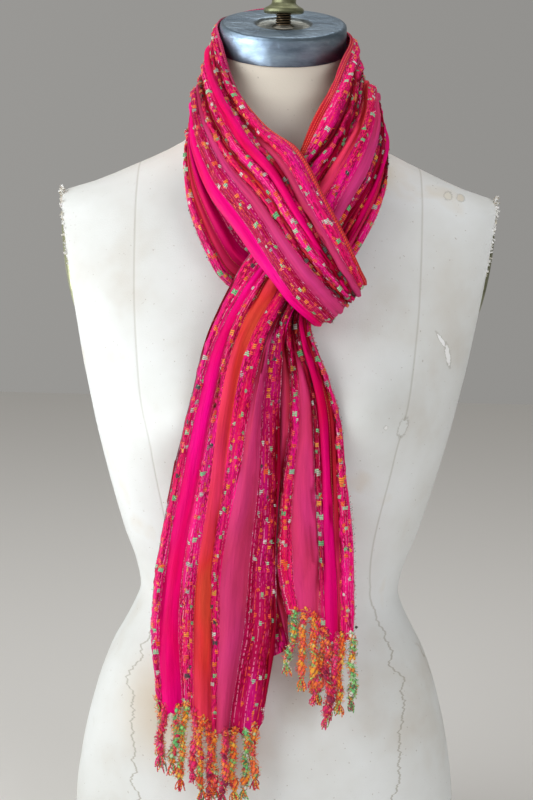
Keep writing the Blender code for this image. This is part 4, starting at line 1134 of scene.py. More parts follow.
class Cloth:
    """A laid strand on its fine grid, with places to read for anything sewn or woven onto it."""

    def __init__(self, strand, along, laid, stripes, columns, seed, roots, tuck):
        rows = int(along[-1] / ROW_STEP)
        self.length, self.width = along[-1], strand.across[-1]
        self.along = np.linspace(0, self.length, rows)
        self.across = np.linspace(0, self.width, columns)
        net = through(along, laid, self.along)
        net = np.swapaxes(through(strand.across, np.swapaxes(net, 0, 1), self.across), 0, 1)
        u, v = np.meshgrid(self.across, self.along)

        def wave(kind, x=u, y=v):
            across, lengthwise, number = WAVES[kind]
            return ripples(x, y, across, lengthwise, seed + number)

        inward = np.sin(math.pi * u / self.width)
        moved = u + STRIPE_WANDER * wave("wander") * inward * np.clip((self.length - v) / CALM_HEM, 0, 1)
        for i in range(rows):
            net[i] = np.stack([np.interp(moved[i], self.across, net[i, :, k]) for k in range(3)], axis=1)
        slub = stripe_share(stripes, u, "slub")
        pucker = wave("pucker") + 0.6 * wave("fine pucker")
        satin = wave("satin") + 0.5 * wave("fine satin")
        crease = np.exp(-((wave("crease", u + LEAN_OF_CREASES * wave("lean")) / CREASE_NARROW) ** 2))
        crease = crease * (1 - 0.6 * slub)
        crease *= np.clip(0.5 + wave("crease here"), 0, 1)
        broad = wave("broad")
        bunched = np.exp(-(((v - tuck) / TUCK_LENGTH) ** 2)) * (1 - 0.5 * slub) * inward ** 1.5
        cross = 1 - 2 * np.abs(wave("cross", u + 0.5 * v, v - 0.4 * u)) ** 0.6
        lift = (PUCKER_HEIGHT * slub * pucker + SATIN_RIPPLE * (1 - slub) * satin + BROAD_WRINKLE * broad
                + TUCK_WRINKLE * bunched * cross - CREASE_DEPTH * crease)
        self.net = net + lift[..., None] * self.normals(net)
        self.gather_hem(roots, v)
        self.facing = self.normals(self.net)

    def gather_hem(self, roots, v):
        """Pulls the hem into a small funnel at each strand of the fringe."""
        near_end = np.clip((v - self.length + FUNNEL_LENGTH) / FUNNEL_LENGTH, 0, 1) ** 2
        for x, _, _ in roots:
            off = self.net[..., 0] - x
            close = near_end * np.exp(-((off / FUNNEL_WIDTH) ** 2))
            self.net[..., 2] -= FUNNEL_DEPTH * close
            self.net[..., 0] -= FUNNEL_PULL * off * near_end * np.exp(-((off / FUNNEL_PULL_WIDTH) ** 2))

    def normals(self, net):
        return unit(np.cross(np.gradient(net, axis=0), np.gradient(net, axis=1)))

    def cells(self, across, along):
        """Places on the cloth counted in cells of the grid, across and along."""
        return (np.clip(np.asarray(across, float) / self.width, 0, 1) * (len(self.across) - 1),
                np.clip(np.asarray(along, float) / self.length, 0, 1) * (len(self.along) - 1))

    def read(self, across, along):
        """Points, outward directions and directions along the cloth at given places."""
        x, y = self.cells(across, along)
        j, i = np.minimum(x.astype(int), len(self.across) - 2), np.minimum(y.astype(int), len(self.along) - 2)
        s, t = (x - j)[:, None], (y - i)[:, None]
        out = []
        for field in (self.net, self.facing):
            out.append((field[i, j] * (1 - s) + field[i, j + 1] * s) * (1 - t)
                       + (field[i + 1, j] * (1 - s) + field[i + 1, j + 1] * s) * t)
        return out[0], unit(out[1]), unit(self.net[i + 1, j] - self.net[i, j])

    def look_round(self, layers):
        """Works out how shut in every point is, from a sample of them, and adds painted shade in the narrow creases;
        together they make the painted fold shade.
        """
        rows, columns = (np.linspace(0, size - 1, size // step).astype(int)
                         for size, step in zip(self.net.shape, SHADE_STEPS))
        shade = shut_in(self.net[rows][:, columns], self.facing[rows][:, columns], layers)
        shade = np.stack([np.interp(range(self.net.shape[1]), columns, row) for row in shade])
        self.shade = np.stack([np.interp(range(self.net.shape[0]), rows, line) for line in shade.T], axis=1)
        for reach in CREASE_REACHES:
            beside = (self.net[:, 2 * reach:] + self.net[:, :-2 * reach]) / 2 - self.net[:, reach:-reach]
            sunk = np.sum(beside * self.facing[:, reach:-reach], axis=2)
            self.shade[:, reach:-reach] += PAINTED_CREASE_SHADE * np.clip(sunk, *CREASE_LIMITS)

    def fold_shade_at(self, across, along):
        """The painted fold shade at given places, from how shut in the cloth is there."""
        x, y = self.cells(across, along)
        return self.shade[y.astype(int), x.astype(int)]


def as_sheet(cloth, name, material):
    """A grid primitive moved onto the cloth, with its cloth sizes as its UV map."""
    rows, columns = cloth.net.shape[:2]
    bpy.ops.mesh.primitive_grid_add(x_subdivisions=columns - 1, y_subdivisions=rows - 1, size=1.0)
    thing = bpy.context.object
    thing.data.vertices.foreach_set("co", (cloth.net * MM).reshape(-1).astype(np.float32))
    corner = np.empty(len(thing.data.loops), np.int32)
    thing.data.loops.foreach_get("vertex_index", corner)
    u, v = np.meshgrid(cloth.across, cloth.along)
    flat = np.stack([u.reshape(-1)[corner], v.reshape(-1)[corner]], axis=1) * MM
    thing.data.uv_layers.active.data.foreach_set("uv", flat.reshape(-1).astype(np.float32))
    # The painted fold shade of every point, which the cloth's material darkens its colour by
    fold = thing.data.attributes.new("fold", "FLOAT", "POINT")
    fold.data.foreach_set("value", cloth.shade.reshape(-1).astype(np.float32))
    bpy.ops.object.shade_smooth()
    wall = thing.modifiers.new("wall", "SOLIDIFY")
    wall.thickness = WALL * MM
    wall.offset = -1.0
    bpy.ops.object.modifier_apply(modifier=wall.name)
    return settle(thing, name, material)


def fringe_roots(strand, laid, first, table):
    """Where each strand of a fringe leaves the hem, from one stripe line on."""
    keep = sorted({0, len(strand.across) - 1, 2 * strand.fold, *range(1, len(strand.across), 2)})
    hem = laid[-1][keep][first:]
    reach = np.concatenate([[0.0], np.cumsum(np.linalg.norm(np.diff(hem, axis=0), axis=1))])
    return np.array([[np.interp(row[0] * reach[-1], reach, hem[:, k]) for k in range(3)] for row in table])


long_roots = fringe_roots(over, over_laid, OVER_FRINGE_FROM, LONG_FRINGE)
short_roots = fringe_roots(under, under_laid, UNDER_FRINGE_FROM, SHORT_FRINGE)
over_cloth = Cloth(over, over_along, over_laid, OVER_STRIPES, OVER_COLUMNS_OF_GRID, 11, long_roots,
                   over.at_place["turn_out"])
under_cloth = Cloth(under, under_along, under_laid, UNDER_STRIPES, UNDER_COLUMNS_OF_GRID, 31, short_roots, NO_TUCK)
cloth_layers = [as_tree(over_cloth.net[::2, ::2]), as_tree(under_cloth.net[::2, ::2])]
for cloth in (over_cloth, under_cloth):
    cloth.look_round(cloth_layers)
print("fine grids:", over_cloth.net.shape, under_cloth.net.shape)
print("deepest folds:", round(float(over_cloth.shade.max()), 2), round(float(under_cloth.shade.max()), 2))

# %% [markdown]
# Rayon is a shiny, cool fibre that takes very strong dye. Plain stripes are woven tight and look like matt
# satin. The slub bands are open: pink threads with gaps, a light thread and a coral thread at each side, and
# short dark and pale dashes where a fancy yarn floats over and under. The threads are drawn 2 to 3 times
# coarser than the real ones, because those would not show at this size.

# %% Woven rayon
# slub_5 and coral_edge are dyed darker than the stripes of their kind: painted shade, for the shaded valley down the
# long tail and the shaded coral edge of the drop
STRIPE_COLOURS = {
    "coral_edge": "#c61a2c", "coral_c": "#d82848", "coral": "#ee3a3e", "mauve": "#d43a68", "rose": "#dc3a66",
    "pink_1": "#f40068", "pink_c": "#e20058", "pink": "#fc0074", "slub_5": "#c40c4a", "slub_c": "#d00a4c",
    "slub": "#ff1470",
}
# Painted shade: the dark crimson that the colour of cloth deep in a fold is multiplied towards
PAINTED_FOLD_SHADE = "#94182e"
# Columns: pattern, squeeze along the cloth, scale, detail
SOFT_PATTERNS = (
    ("mood", 0.3, 26.0, 2.0), ("streak", 0.12, 170.0, 3.0), ("magenta", 0.12, 90.0, 2.0),
    ("open weave", 0.12, 120.0, 1.0), ("thick", 0.22, 900.0, 1.0), ("wander", 0.12, 240.0, 1.0),
    ("weave", 1.0, 720.0, 1.0), ("pleat", 0.08, 520.0, 2.0),
)


def woven_rayon(name, stripes):
    """The striped cloth. UV holds metres across and along the cloth."""
    material, tree, shader = new_material(name)
    total = sum(row[1] for row in stripes)
    uv = add_node(tree, "UVMap", {})
    across, along, _ = add_node(tree, "SeparateXYZ", {0: uv}).node.outputs
    fraction = add_node(tree, "Math", {0: across, 1: total * MM}, operation="DIVIDE")
    colours, slubs = [], []
    for stripe, start, _ in stripe_starts(stripes):
        kind = next(word for word in STRIPE_COLOURS if stripe.startswith(word))
        colours.append((start / total, STRIPE_COLOURS[kind]))
        slubs.append((start / total, "#ffffff" if kind.startswith("slub") else "#000000"))
    dyed = add_node(tree, "ValToRGB", {0: fraction}, stops=colours, between="CONSTANT")
    band = add_node(tree, "ValToRGB", {0: fraction}, stops=slubs, between="CONSTANT")

    # Noise in many sizes, each drawn out along the cloth as its threads are
    soft = {}
    for pattern, squeeze, scale, detail in SOFT_PATTERNS:
        space = add_node(tree, "Mapping", {"Vector": uv, "Scale": (1.0, squeeze, 1.0)})
        soft[pattern] = add_node(tree, "TexNoise", {"Vector": space, "Scale": scale, "Detail": detail})

    # Dye takes unevenly: over a hand's width the pink runs from crimson to magenta
    mood_hue = add_node(tree, "MapRange", {0: soft["mood"], 1: 0.32, 2: 0.68, 3: 0.508, 4: 0.480})
    mood_value = add_node(tree, "MapRange", {0: soft["mood"], 1: 0.32, 2: 0.68, 3: 0.84, 4: 1.06})
    dyed = add_node(tree, "HueSaturation", {"Hue": mood_hue, "Value": mood_value, "Color": dyed})

    # Under that it varies in soft streaks along the cloth
    streak_value = add_node(tree, "MapRange", {0: soft["streak"], 1: 0.3, 2: 0.7, 3: 0.86, 4: 1.10})
    dyed = add_node(tree, "HueSaturation", {"Value": streak_value, "Color": dyed})

    # A magenta yarn shows here and there among the pink ones
    magenta = add_node(tree, "MapRange", {0: soft["magenta"], 1: 0.53, 2: 0.63, 3: 0.0, 4: 0.5})
    magenta = add_node(tree, "Math", {0: magenta, 1: band}, operation="MULTIPLY")
    dyed = add_node(tree, "MixRGB", {0: magenta, 1: dyed, 2: "#e00f8c"})

    # Gaps between the slub threads: crimson cells about 2.7 mm long and 1.6 mm wide, in loose rows
    cell_space = add_node(tree, "Mapping", {"Vector": uv, "Scale": (1.0, 0.6, 1.0)})
    cells = add_node(tree, "TexVoronoi", {"Vector": cell_space, "Scale": 620.0}, "Distance")
    gap = add_node(tree, "MapRange", {0: cells, 1: 0.36, 2: 0.60, 3: 0.0, 4: 0.84})
    open_weave = add_node(tree, "MapRange", {0: soft["open weave"], 1: 0.42, 2: 0.60, 3: 0.12, 4: 1.0})
    for share in (open_weave, band):
        gap = add_node(tree, "Math", {0: gap, 1: share}, operation="MULTIPLY")
    dyed = add_node(tree, "MixRGB", {0: gap, 1: dyed, 2: "#8c0028"})

    # Between the gaps the warp shows as pale pink threads 1.7 mm apart, thick and thin by turns
    warp = add_node(tree, "Math", {0: across, 1: 0.00085}, operation="PINGPONG")
    warp = add_node(tree, "MapRange", {0: warp, 1: 0.0, 2: 0.0004, 3: 1.0, 4: 0.0})
    thick = add_node(tree, "MapRange", {0: soft["thick"], 1: 0.54, 2: 0.66, 3: 0.0, 4: 0.55})
    for share in (thick, band):
        warp = add_node(tree, "Math", {0: warp, 1: share}, operation="MULTIPLY")
    dyed = add_node(tree, "MixRGB", {0: warp, 1: dyed, 2: "#ff7aa6"})

    # Long threads every 5 mm: pale, coral and dark in turn, broken into dashes
    wandered = add_node(tree, "Math", {0: soft["wander"], 1: 0.0036, 2: across}, operation="MULTIPLY_ADD")
    thread = add_node(tree, "Math", {0: wandered, 1: 0.0025}, operation="PINGPONG")
    thread = add_node(tree, "MapRange", {0: thread, 1: 0.00025, 2: 0.0006, 3: 1.0, 4: 0.0})
    which = add_node(tree, "Math", {0: wandered, 1: 0.005}, operation="DIVIDE")
    number = add_node(tree, "Math", {0: which}, operation="ROUND")
    lot = add_node(tree, "TexWhiteNoise", {"W": number}, noise_dimensions="1D")
    shade = add_node(tree, "ValToRGB", {0: lot}, between="CONSTANT",
                     stops=((0.0, "#ff90b6"), (0.34, "#ff5f3c"), (0.58, "#ffb4c6"), (0.84, "#8c0f3c")))
    dash_space = add_node(tree, "CombineXYZ", {0: number, 1: along})
    dash_space = add_node(tree, "Mapping", {"Vector": dash_space, "Scale": (7.3, 480.0, 1.0)})
    dash = add_node(tree, "TexNoise", {"Vector": dash_space, "Scale": 1.0, "Detail": 0.0})
    dash = add_node(tree, "MapRange", {0: dash, 1: 0.42, 2: 0.50, 3: 0.0, 4: 0.65})
    for share in (dash, band):
        thread = add_node(tree, "Math", {0: thread, 1: share}, operation="MULTIPLY")
    dyed = add_node(tree, "MixRGB", {0: thread, 1: dyed, 2: shade})

    # Painted shade: deep in folds and narrow creases the colour is multiplied towards dark crimson
    fold = add_node(tree, "Attribute", {}, "Fac", attribute_name="fold")
    deep = add_node(tree, "MapRange", {0: fold, 1: 0.08, 2: 0.40, 3: 0.0, 4: 0.9}, interpolation_type="SMOOTHSTEP")
    dyed = add_node(tree, "MixRGB", {0: deep, 1: dyed, 2: PAINTED_FOLD_SHADE}, blend_type="MULTIPLY")

    # The threads stand up, the gaps sink, and the satin keeps a fine weave and hair-fine pleats along it
    relief = add_node(tree, "Math", {0: thread, 1: gap}, operation="SUBTRACT")
    for pattern, rise in (("weave", 0.35), ("pleat", 1.6)):
        relief = add_node(tree, "Math", {0: soft[pattern], 1: rise, 2: relief}, operation="MULTIPLY_ADD")
    bump = add_node(tree, "Bump", {"Strength": 0.5, "Distance": 0.0007, "Height": relief})
    feed(shader, {"Base Color": dyed, "Roughness": 0.58, "IOR": 1.47, "Specular IOR Level": 0.06, "Normal": bump})
    return material


over_sheet = as_sheet(over_cloth, "scarf_over_strand", woven_rayon("woven_rayon_over", OVER_STRIPES))
under_sheet = as_sheet(under_cloth, "scarf_under_strand", woven_rayon("woven_rayon_under", UNDER_STRIPES))
for sheet, nodes in ((over_sheet, ("loop_over_band", "wrap_upper", "drop_upper", "long_tail")),
                     (under_sheet, ("loop_under_band", "wrap_lower", "drop_lower", "short_tail"))):
    declare(sheet, "scarf_cloth", *nodes)
    print(sheet.name, len(sheet.data.polygons) * 2, "triangles")

# %% [markdown]
# Three sorts of yarn stand up from the slub bands, and at this size they are what the eye goes to first.
# Short flags of bright yarn are woven in under three or four light threads, so each reads as a small padded
# square of three bars. Light threads float over the band in dashes. Fine ends stick out of both.
# Each sort is modelled once, small and flat, and then copied to all its places in one mesh.

# %% Places for the yarn, and copies of a small piece
THREAD_STEP = 5.0
FLAG_STEP = 20.0
FLAG_WIDTHS = {True: (2.7, 4.4), False: (3.4, 4.8)}
FLAG_SHARES = {True: 0.9, False: 0.75}
ORANGES = ("#ff7a1e", "#ff5a2e", "#ff8f2a", "#ff4a4e", "#ffa43a", "#ff5a20", "#f8483a")
GREENS = ("#b4d8ac", "#74c884", "#dcd6c8", "#9cc8a2", "#e8e4da", "#4c4044", "#86cf92", "#a8a49c")
THREADS = ("#ffb4c8", "#ff96b4", "#f8ccd6", "#f08cc4", "#ff8a5a", "#7a1240")
LOOPS = ("#f2e6e6", "#ff86b0", "#cfe8c4", "#4c2a38", "#ff5a98", "#ffffff")


def light_at(depth):
    """Painted shade on a yarn: how much of its colour it keeps where the cloth shuts it in."""
    return 1 - 0.9 * np.clip((depth - 0.1) / 0.45, 0, 1)


def yarn_piece(name, points, faces, colours, map_name, flat, material):
    """A finished piece from points in millimetres, with a yarn colour at each point."""
    mesh = bpy.data.meshes.new(name)
    mesh.from_pydata((points * MM).tolist(), [], faces)
    yarn = mesh.attributes.new("yarn", "FLOAT_COLOR", "POINT")
    yarn.data.foreach_set("color", np.asarray(colours, np.float32).reshape(-1))
    mesh.uv_layers.new(name=map_name).data.foreach_set("uv", np.asarray(flat, np.float32))
    thing = bpy.data.objects.new(name, mesh)
    bpy.context.scene.collection.objects.link(thing)
    mesh.shade_smooth()
    return settle(thing, name, material)


def strewn(name, pattern, seat, across, along, outward, colours, material, depth=0.0):
    """Repeats a small modelled piece at many places, with a yarn colour at each copy, darkened by painted shade
    where the cloth shuts it in.
    """
    shape = np.array([v.co for v in pattern.data.vertices])
    quads = np.array([p.vertices for p in pattern.data.polygons])
    flat = np.empty(len(pattern.data.loops) * 2)
    pattern.data.uv_layers.active.data.foreach_get("uv", flat)
    bpy.data.objects.remove(pattern)
    count = len(seat)
    points = (seat[:, None] + shape[None, :, 0, None] * across[:, None] + shape[None, :, 1, None] * along[:, None]
              + shape[None, :, 2, None] * outward[:, None])
    faces = quads[None] + (np.arange(count) * len(shape))[:, None, None]
    lot = np.array([linear(c) for c in colours])
    # Painted shade: copies deep in a fold are darkened
    lot[:, :3] *= light_at(np.broadcast_to(depth, count))[:, None]
    return yarn_piece(name, points.reshape(-1, 3), faces.reshape(-1, quads.shape[1]).tolist(),
                      np.repeat(lot, len(shape), axis=0), "bars", np.tile(flat, count), material)


def small_grid(columns, rows, raise_by):
    """A small flat grid from -0.5 to 0.5, raised by a function of its own x and y."""
    bpy.ops.mesh.primitive_grid_add(x_subdivisions=columns, y_subdivisions=rows, size=1.0)
    thing = bpy.context.object
    for vertex in thing.data.vertices:
        vertex.co.z = raise_by(vertex.co.x, vertex.co.y)
    return thing


def three_bars(name, groove_width):
    """Bright yarn, parted into three bars by dark grooves along each copy's own UV map."""
    material, tree, shader = new_material(name)
    colour = add_node(tree, "Attribute", {}, "Color", attribute_name="yarn")
    _, upward, _ = add_node(tree, "SeparateXYZ", {0: add_node(tree, "UVMap", {})}).node.outputs
    bars = add_node(tree, "Math", {0: upward, 1: 1 / 6}, operation="PINGPONG")
    groove = add_node(tree, "MapRange", {0: bars, 1: 0.0, 2: groove_width, 3: 0.9, 4: 0.0})
    dark = add_node(tree, "HueSaturation", {"Value": 0.12, "Color": colour})
    barred = add_node(tree, "MixRGB", {0: groove, 1: colour, 2: dark})
    feed(shader, {"Base Color": barred, "Roughness": 0.7, "Sheen Weight": 0.15})
    return material


yarn_material = three_bars("floating_bright_yarn", 0.02)
flag_material = three_bars("barred_bright_yarn", 0.10)


def thread_sway(along, line):
    """How far a thread of the open slub band strays from its straight line, in millimetres."""
    return 0.8 * math.sin(along / 11.0 + line) + 0.5 * math.sin(along / 4.7 + 2.3 * line)


def yarn_places(cloth, stripes, seed):
    """Flags (orange or not, across, along) and floats (across, along, length) of every slub stripe."""
    rng = random.Random(seed)
    flags, floats = [], []
    for name, start, end in stripe_starts(stripes):
        if "slub" not in name:
            continue
        lines = np.arange(start + THREAD_STEP, end - 1.0, THREAD_STEP)
        for number, line in enumerate(lines):
            orange = (number + seed) % 2 == 0
            at = 4.0 + FLAG_STEP / 2 * (number // 2 % 2) + 3.0 * orange
            while at < cloth.length - 3:
                if rng.random() < FLAG_SHARES[orange]:
                    sort = orange if rng.random() < 0.85 else not orange
                    flags.append((sort, line + thread_sway(at, line) + rng.uniform(-0.9, 0.9), at))
                    if orange and rng.random() < 0.4:
                        flags.append((True, line + rng.uniform(-1.5, 1.5), at + rng.uniform(4.0, 6.5)))
                at += FLAG_STEP + rng.uniform(-4.0, 4.0)
        for line in [start + 0.8, *lines, end - 0.8]:
            at = rng.uniform(1, 6)
            while at < cloth.length - 6:
                long = rng.uniform(2.2, 5.0)
                floats.append((line + thread_sway(at, line) + rng.uniform(-0.5, 0.5), at + long / 2, long))
                at += long + rng.uniform(1.0, 3.2)
    return flags, floats


def flag_height(x, y):
    """A padded square of three bars."""
    bars = 0.6 + 0.4 * abs(math.sin(3 * math.pi * (y + 0.5)))
    return (1 - (2 * x) ** 4) * (1 - (2 * y) ** 4) * bars + 0.25


def column(values):
    """One value for each copy, ready to multiply directions."""
    return np.array(list(values))[:, None]


def put_yarn(cloth, stripes, seed, name):
    """Flags, floats and loose ends on one strand."""
    rng = random.Random(seed + 5)
    flags, floats = yarn_places(cloth, stripes, seed)
    sorts, across, along = zip(*flags)
    # How shut in the cloth is at each flag, for painted shade on the yarn
    depth = cloth.fold_shade_at(across, along)
    seat, out, run = cloth.read(across, along)
    side = np.cross(run, out)
    wide = column(rng.uniform(*FLAG_WIDTHS[sort]) for sort in sorts)
    tall = column(rng.uniform(3.4, 5.2) for _ in flags)
    lean = column(rng.uniform(-0.25, 0.25) for _ in flags)
    colours = [rng.choice(ORANGES if sort else GREENS) for sort in sorts]
    made = [strewn(name + "_flags", small_grid(4, 6, flag_height), seat, side * wide + run * lean, run * tall, out,
                   colours, flag_material, depth)]

    float_across, float_along, long = zip(*floats)
    seat, out, run = cloth.read(float_across, float_along)
    shades = [rng.choice(THREADS) for _ in floats]
    arch = small_grid(2, 4, lambda x, y: 1.0 - 1.1 * (2 * y) ** 2 - 0.5 * (2 * x) ** 2)
    made.append(strewn(name + "_floats", arch, seat, np.cross(run, out) * 0.62, run * column(long), out * 0.8,
                       shades, yarn_material, cloth.fold_shade_at(float_across, float_along)))

    seat, out, run = cloth.read([x + rng.uniform(-2, 2) for x in across], [y + rng.uniform(-3, 3) for y in along])
    turn = column(rng.uniform(0, 2 * math.pi) for _ in flags)
    heading = run * np.cos(turn) + np.cross(run, out) * np.sin(turn)
    hair = small_grid(1, 3, lambda x, y: 2.2 * (y + 0.5) ** 0.7)
    shades = [rng.choice(ORANGES if sort else GREENS) for sort in sorts]
    made.append(strewn(name + "_ends", hair, seat, np.cross(heading, out) * 0.4, heading * 2.8, out, shades,
                       yarn_material, depth))
    return made


def selvedge_loops(cloth, across, start, end, name):
    """Small loops of weft that stand out where a band is folded at the cloth's side."""
    rng = random.Random(int(across))
    at = np.arange(start, end, 2.6)
    seat, out, run = cloth.read(np.full(len(at), across), at + np.array([rng.uniform(-0.8, 0.8) for _ in at]))
    reach = column(rng.uniform(1.6, 3.0) for _ in at)
    loop = small_grid(5, 1, lambda x, y: math.cos(math.pi * x))
    for vertex in loop.data.vertices:
        vertex.co = (vertex.co.z, vertex.co.x, vertex.co.y)
    shades = [rng.choice(LOOPS) for _ in at]
    return strewn(name, loop, seat, np.cross(out, run) * reach, run * 2.4, out * 0.9, shades, yarn_material)


over_yarn = put_yarn(over_cloth, OVER_STRIPES, 3, "over_yarn")
under_yarn = put_yarn(under_cloth, UNDER_STRIPES, 8, "under_yarn")
fold_line = stripe_starts(OVER_STRIPES)[3][1] + 1.0
over_yarn.append(selvedge_loops(over_cloth, fold_line, over.at_place["knot"], over_cloth.length - 2,
                                "long_tail_side_loops"))
under_yarn.append(selvedge_loops(under_cloth, under_cloth.width - 0.5, 2.0, under_cloth.length - 2,
                                 "short_tail_side_loops"))
for piece in over_yarn + under_yarn:
    declare(piece, "scarf_cloth")
    print(piece.name, len(piece.data.polygons) * 2, "triangles")

# %% [markdown]
# Where a slub band meets a plain stripe, the weaver put in one heavier two-colour thread. The outer edge has
# three coral cords side by side. Each is a thin tube run along the cloth, and its twist is drawn as slanting
# bars on the tube's own UV map, 2.4 mm apart.

# %% Cords and twisted threads along the stripes
CORD_RADIUS = 0.8
THREAD_RADIUS = 0.6
CORD_PLACES = (1.0, 4.2, 7.4)
THREAD_COLOURS = {"coral": ("#ff8a4a", "#ff6a3c"), "mauve": ("#f6c6e0", "#c8387c"), "rose": ("#f6c6e0", "#c8387c"),
                  "": ("#ffb0cc", "#d8205c")}


def tubes(name, runs, sides, material):
    """Round tubes along runs of points. A run is its points, a radius, colours and how shut in it is, which darkens
    its colours as painted shade.
    """
    points, faces, colours, flat = [], [], [], []
    turns = range(sides)
    for path, radius, shades, depth in runs:
        path, start = np.asarray(path, float), len(points)
        # Painted shade: a run's colours are darkened by how shut in it is
        light = light_at(np.broadcast_to(depth, len(path)))
        ahead = unit(np.gradient(path, axis=0))
        side = unit(np.cross(ahead, np.broadcast_to((0.31, -0.9, 0.3), ahead.shape)))
        other = np.cross(side, ahead)
        reach = np.concatenate([[0.0], np.cumsum(np.linalg.norm(np.diff(path, axis=0), axis=1))])
        radius = np.broadcast_to(radius, len(path))
        for k, centre in enumerate(path):
            colour = (*[light[k] * part for part in linear(shades[k % len(shades)])[:3]], 1.0)
            for turn in turns:
                angle = 2 * math.pi * turn / sides
                points.append(centre + radius[k] * (side[k] * math.cos(angle) + other[k] * math.sin(angle)))
                colours.append(colour)
        for k in range(len(path) - 1):
            for turn in turns:
                a, b = start + k * sides + turn, start + k * sides + (turn + 1) % sides
                faces.append((a, b, b + sides, a + sides))
                u, v = turn / sides, reach[k] * MM
                w, top = (turn + 1) / sides, reach[k + 1] * MM
                flat.extend((u, v, w, v, w, top, u, top))
        end = start + (len(path) - 1) * sides
        faces.extend((tuple(start + turn for turn in reversed(turns)), tuple(end + turn for turn in turns)))
        flat.extend((0.0,) * 4 * sides)
    return yarn_piece(name, np.array(points), faces, colours, "twist", flat, material)


twist_material, tree, shader = new_material("twisted_rayon_thread")
yarn_colour = add_node(tree, "Attribute", {}, "Color", attribute_name="yarn")
around, upward, _ = add_node(tree, "SeparateXYZ", {0: add_node(tree, "UVMap", {})}).node.outputs
slant = add_node(tree, "Math", {0: around, 1: 0.0024, 2: upward}, operation="MULTIPLY_ADD")
ply = add_node(tree, "Math", {0: slant, 1: 0.0012}, operation="PINGPONG")
groove = add_node(tree, "MapRange", {0: ply, 1: 0.0001, 2: 0.0006, 3: 0.8, 4: 0.0})
plied = add_node(tree, "MixRGB", {0: groove, 1: yarn_colour, 2: "#7a1038"})
bump = add_node(tree, "Bump", {"Strength": 0.6, "Distance": 0.0004, "Height": ply})
feed(shader, {"Base Color": plied, "Roughness": 0.6, "Sheen Weight": 0.1, "Normal": bump})


def edge_runs(cloth, stripes):
    """A thread at each boundary of two stripes, and three cords on a coral edge."""
    along = cloth.along[::2]
    rows = stripe_starts(stripes)
    lines = []
    for (name, _, end), (after, _, _) in zip(rows[:-1], rows[1:]):
        pair = next(word for word in THREAD_COLOURS if word in name + after)
        lines.append((end, 0.35, THREAD_RADIUS, THREAD_COLOURS[pair]))
    if rows[0][0] == "coral_edge":
        rolled = (along > over.at_place["collar_high"]) & (along < over.at_place["right"])
        shades = ["#e0206a" if hidden else "#f5503c" for hidden in rolled]
        lines.extend((across, 0.3, CORD_RADIUS, shades) for across in CORD_PLACES)
    runs = []
    for across, rise, radius, shades in lines:
        places = np.full(len(along), across), along
        seat, out, _ = cloth.read(*places)
        # Painted shade on the thread, from how shut in the cloth is along it
        runs.append((seat + out * rise, radius, shades, cloth.fold_shade_at(*places)))
    return runs


over_threads = tubes("over_edge_threads", edge_runs(over_cloth, OVER_STRIPES), 5, twist_material)
under_threads = tubes("under_edge_threads", edge_runs(under_cloth, UNDER_STRIPES), 5, twist_material)
for piece in (over_threads, under_threads):
    declare(piece, "scarf_cloth")
    print(piece.name, len(piece.data.polygons) * 2, "triangles")

# %% [markdown]
# The warp threads are left uncut past the last pick, and each bundle is twisted hard and knotted near its
# end. It holds every yarn of the cloth, so a strand changes colour every few millimetres and is lumpy where
# a slub or a flag was caught in. Each strand is two tubes wound round each other, with a knot and a brush.

# %% The fringe, strand by strand
PLY_RADIUS = 1.5
PLY_APART = 1.5
PLY_PITCH = 8.5
BRUSH_RADIUS = 0.5
LOOP_RADIUS = 0.45
RUN_STEP = 1.3
LUMP_LENGTH = 2.6
KNOT_HEIGHT = 8
KNOT_LENGTH = 3.0
UNTWISTED = 10
NEW_COLOUR = 0.33
BRUSH_HAIRS = 14
FUZZ_HAIRS = 4
FUZZ_MIXED = 0.25
FUZZ_LENGTH = 3.2
FUZZ_THICK = 0.5
YARNS = {
    "orange": ("#ff8a1e", "#ff6e22", "#ffb52e", "#ff9a3c", "#f05a2a", "#ffd25a", "#e8641e", "#8fdc78", "#e0205a"),
    "green": ("#6fd07a", "#bfe8b0", "#8fdc78", "#5a8a5a", "#ff8a1e", "#e8e4d4", "#e0205a", "#ffb52e"),
    "pink": ("#f0146a", "#e0105a", "#ff2f7a", "#f8086c", "#d8085a", "#ff5a94", "#c80044", "#ff7a3c"),
    "crimson": ("#c80044", "#b00838", "#e0145e", "#e84a3a", "#ff8a3c", "#f0206a", "#ff6a2a", "#8a1040"),
    "mixed": ("#ff8a1e", "#e0205a", "#ff7a3c", "#ffb52e", "#c00838", "#bfe8b0", "#ff5a5a", "#6fd07a", "#ff9a2e"),
}


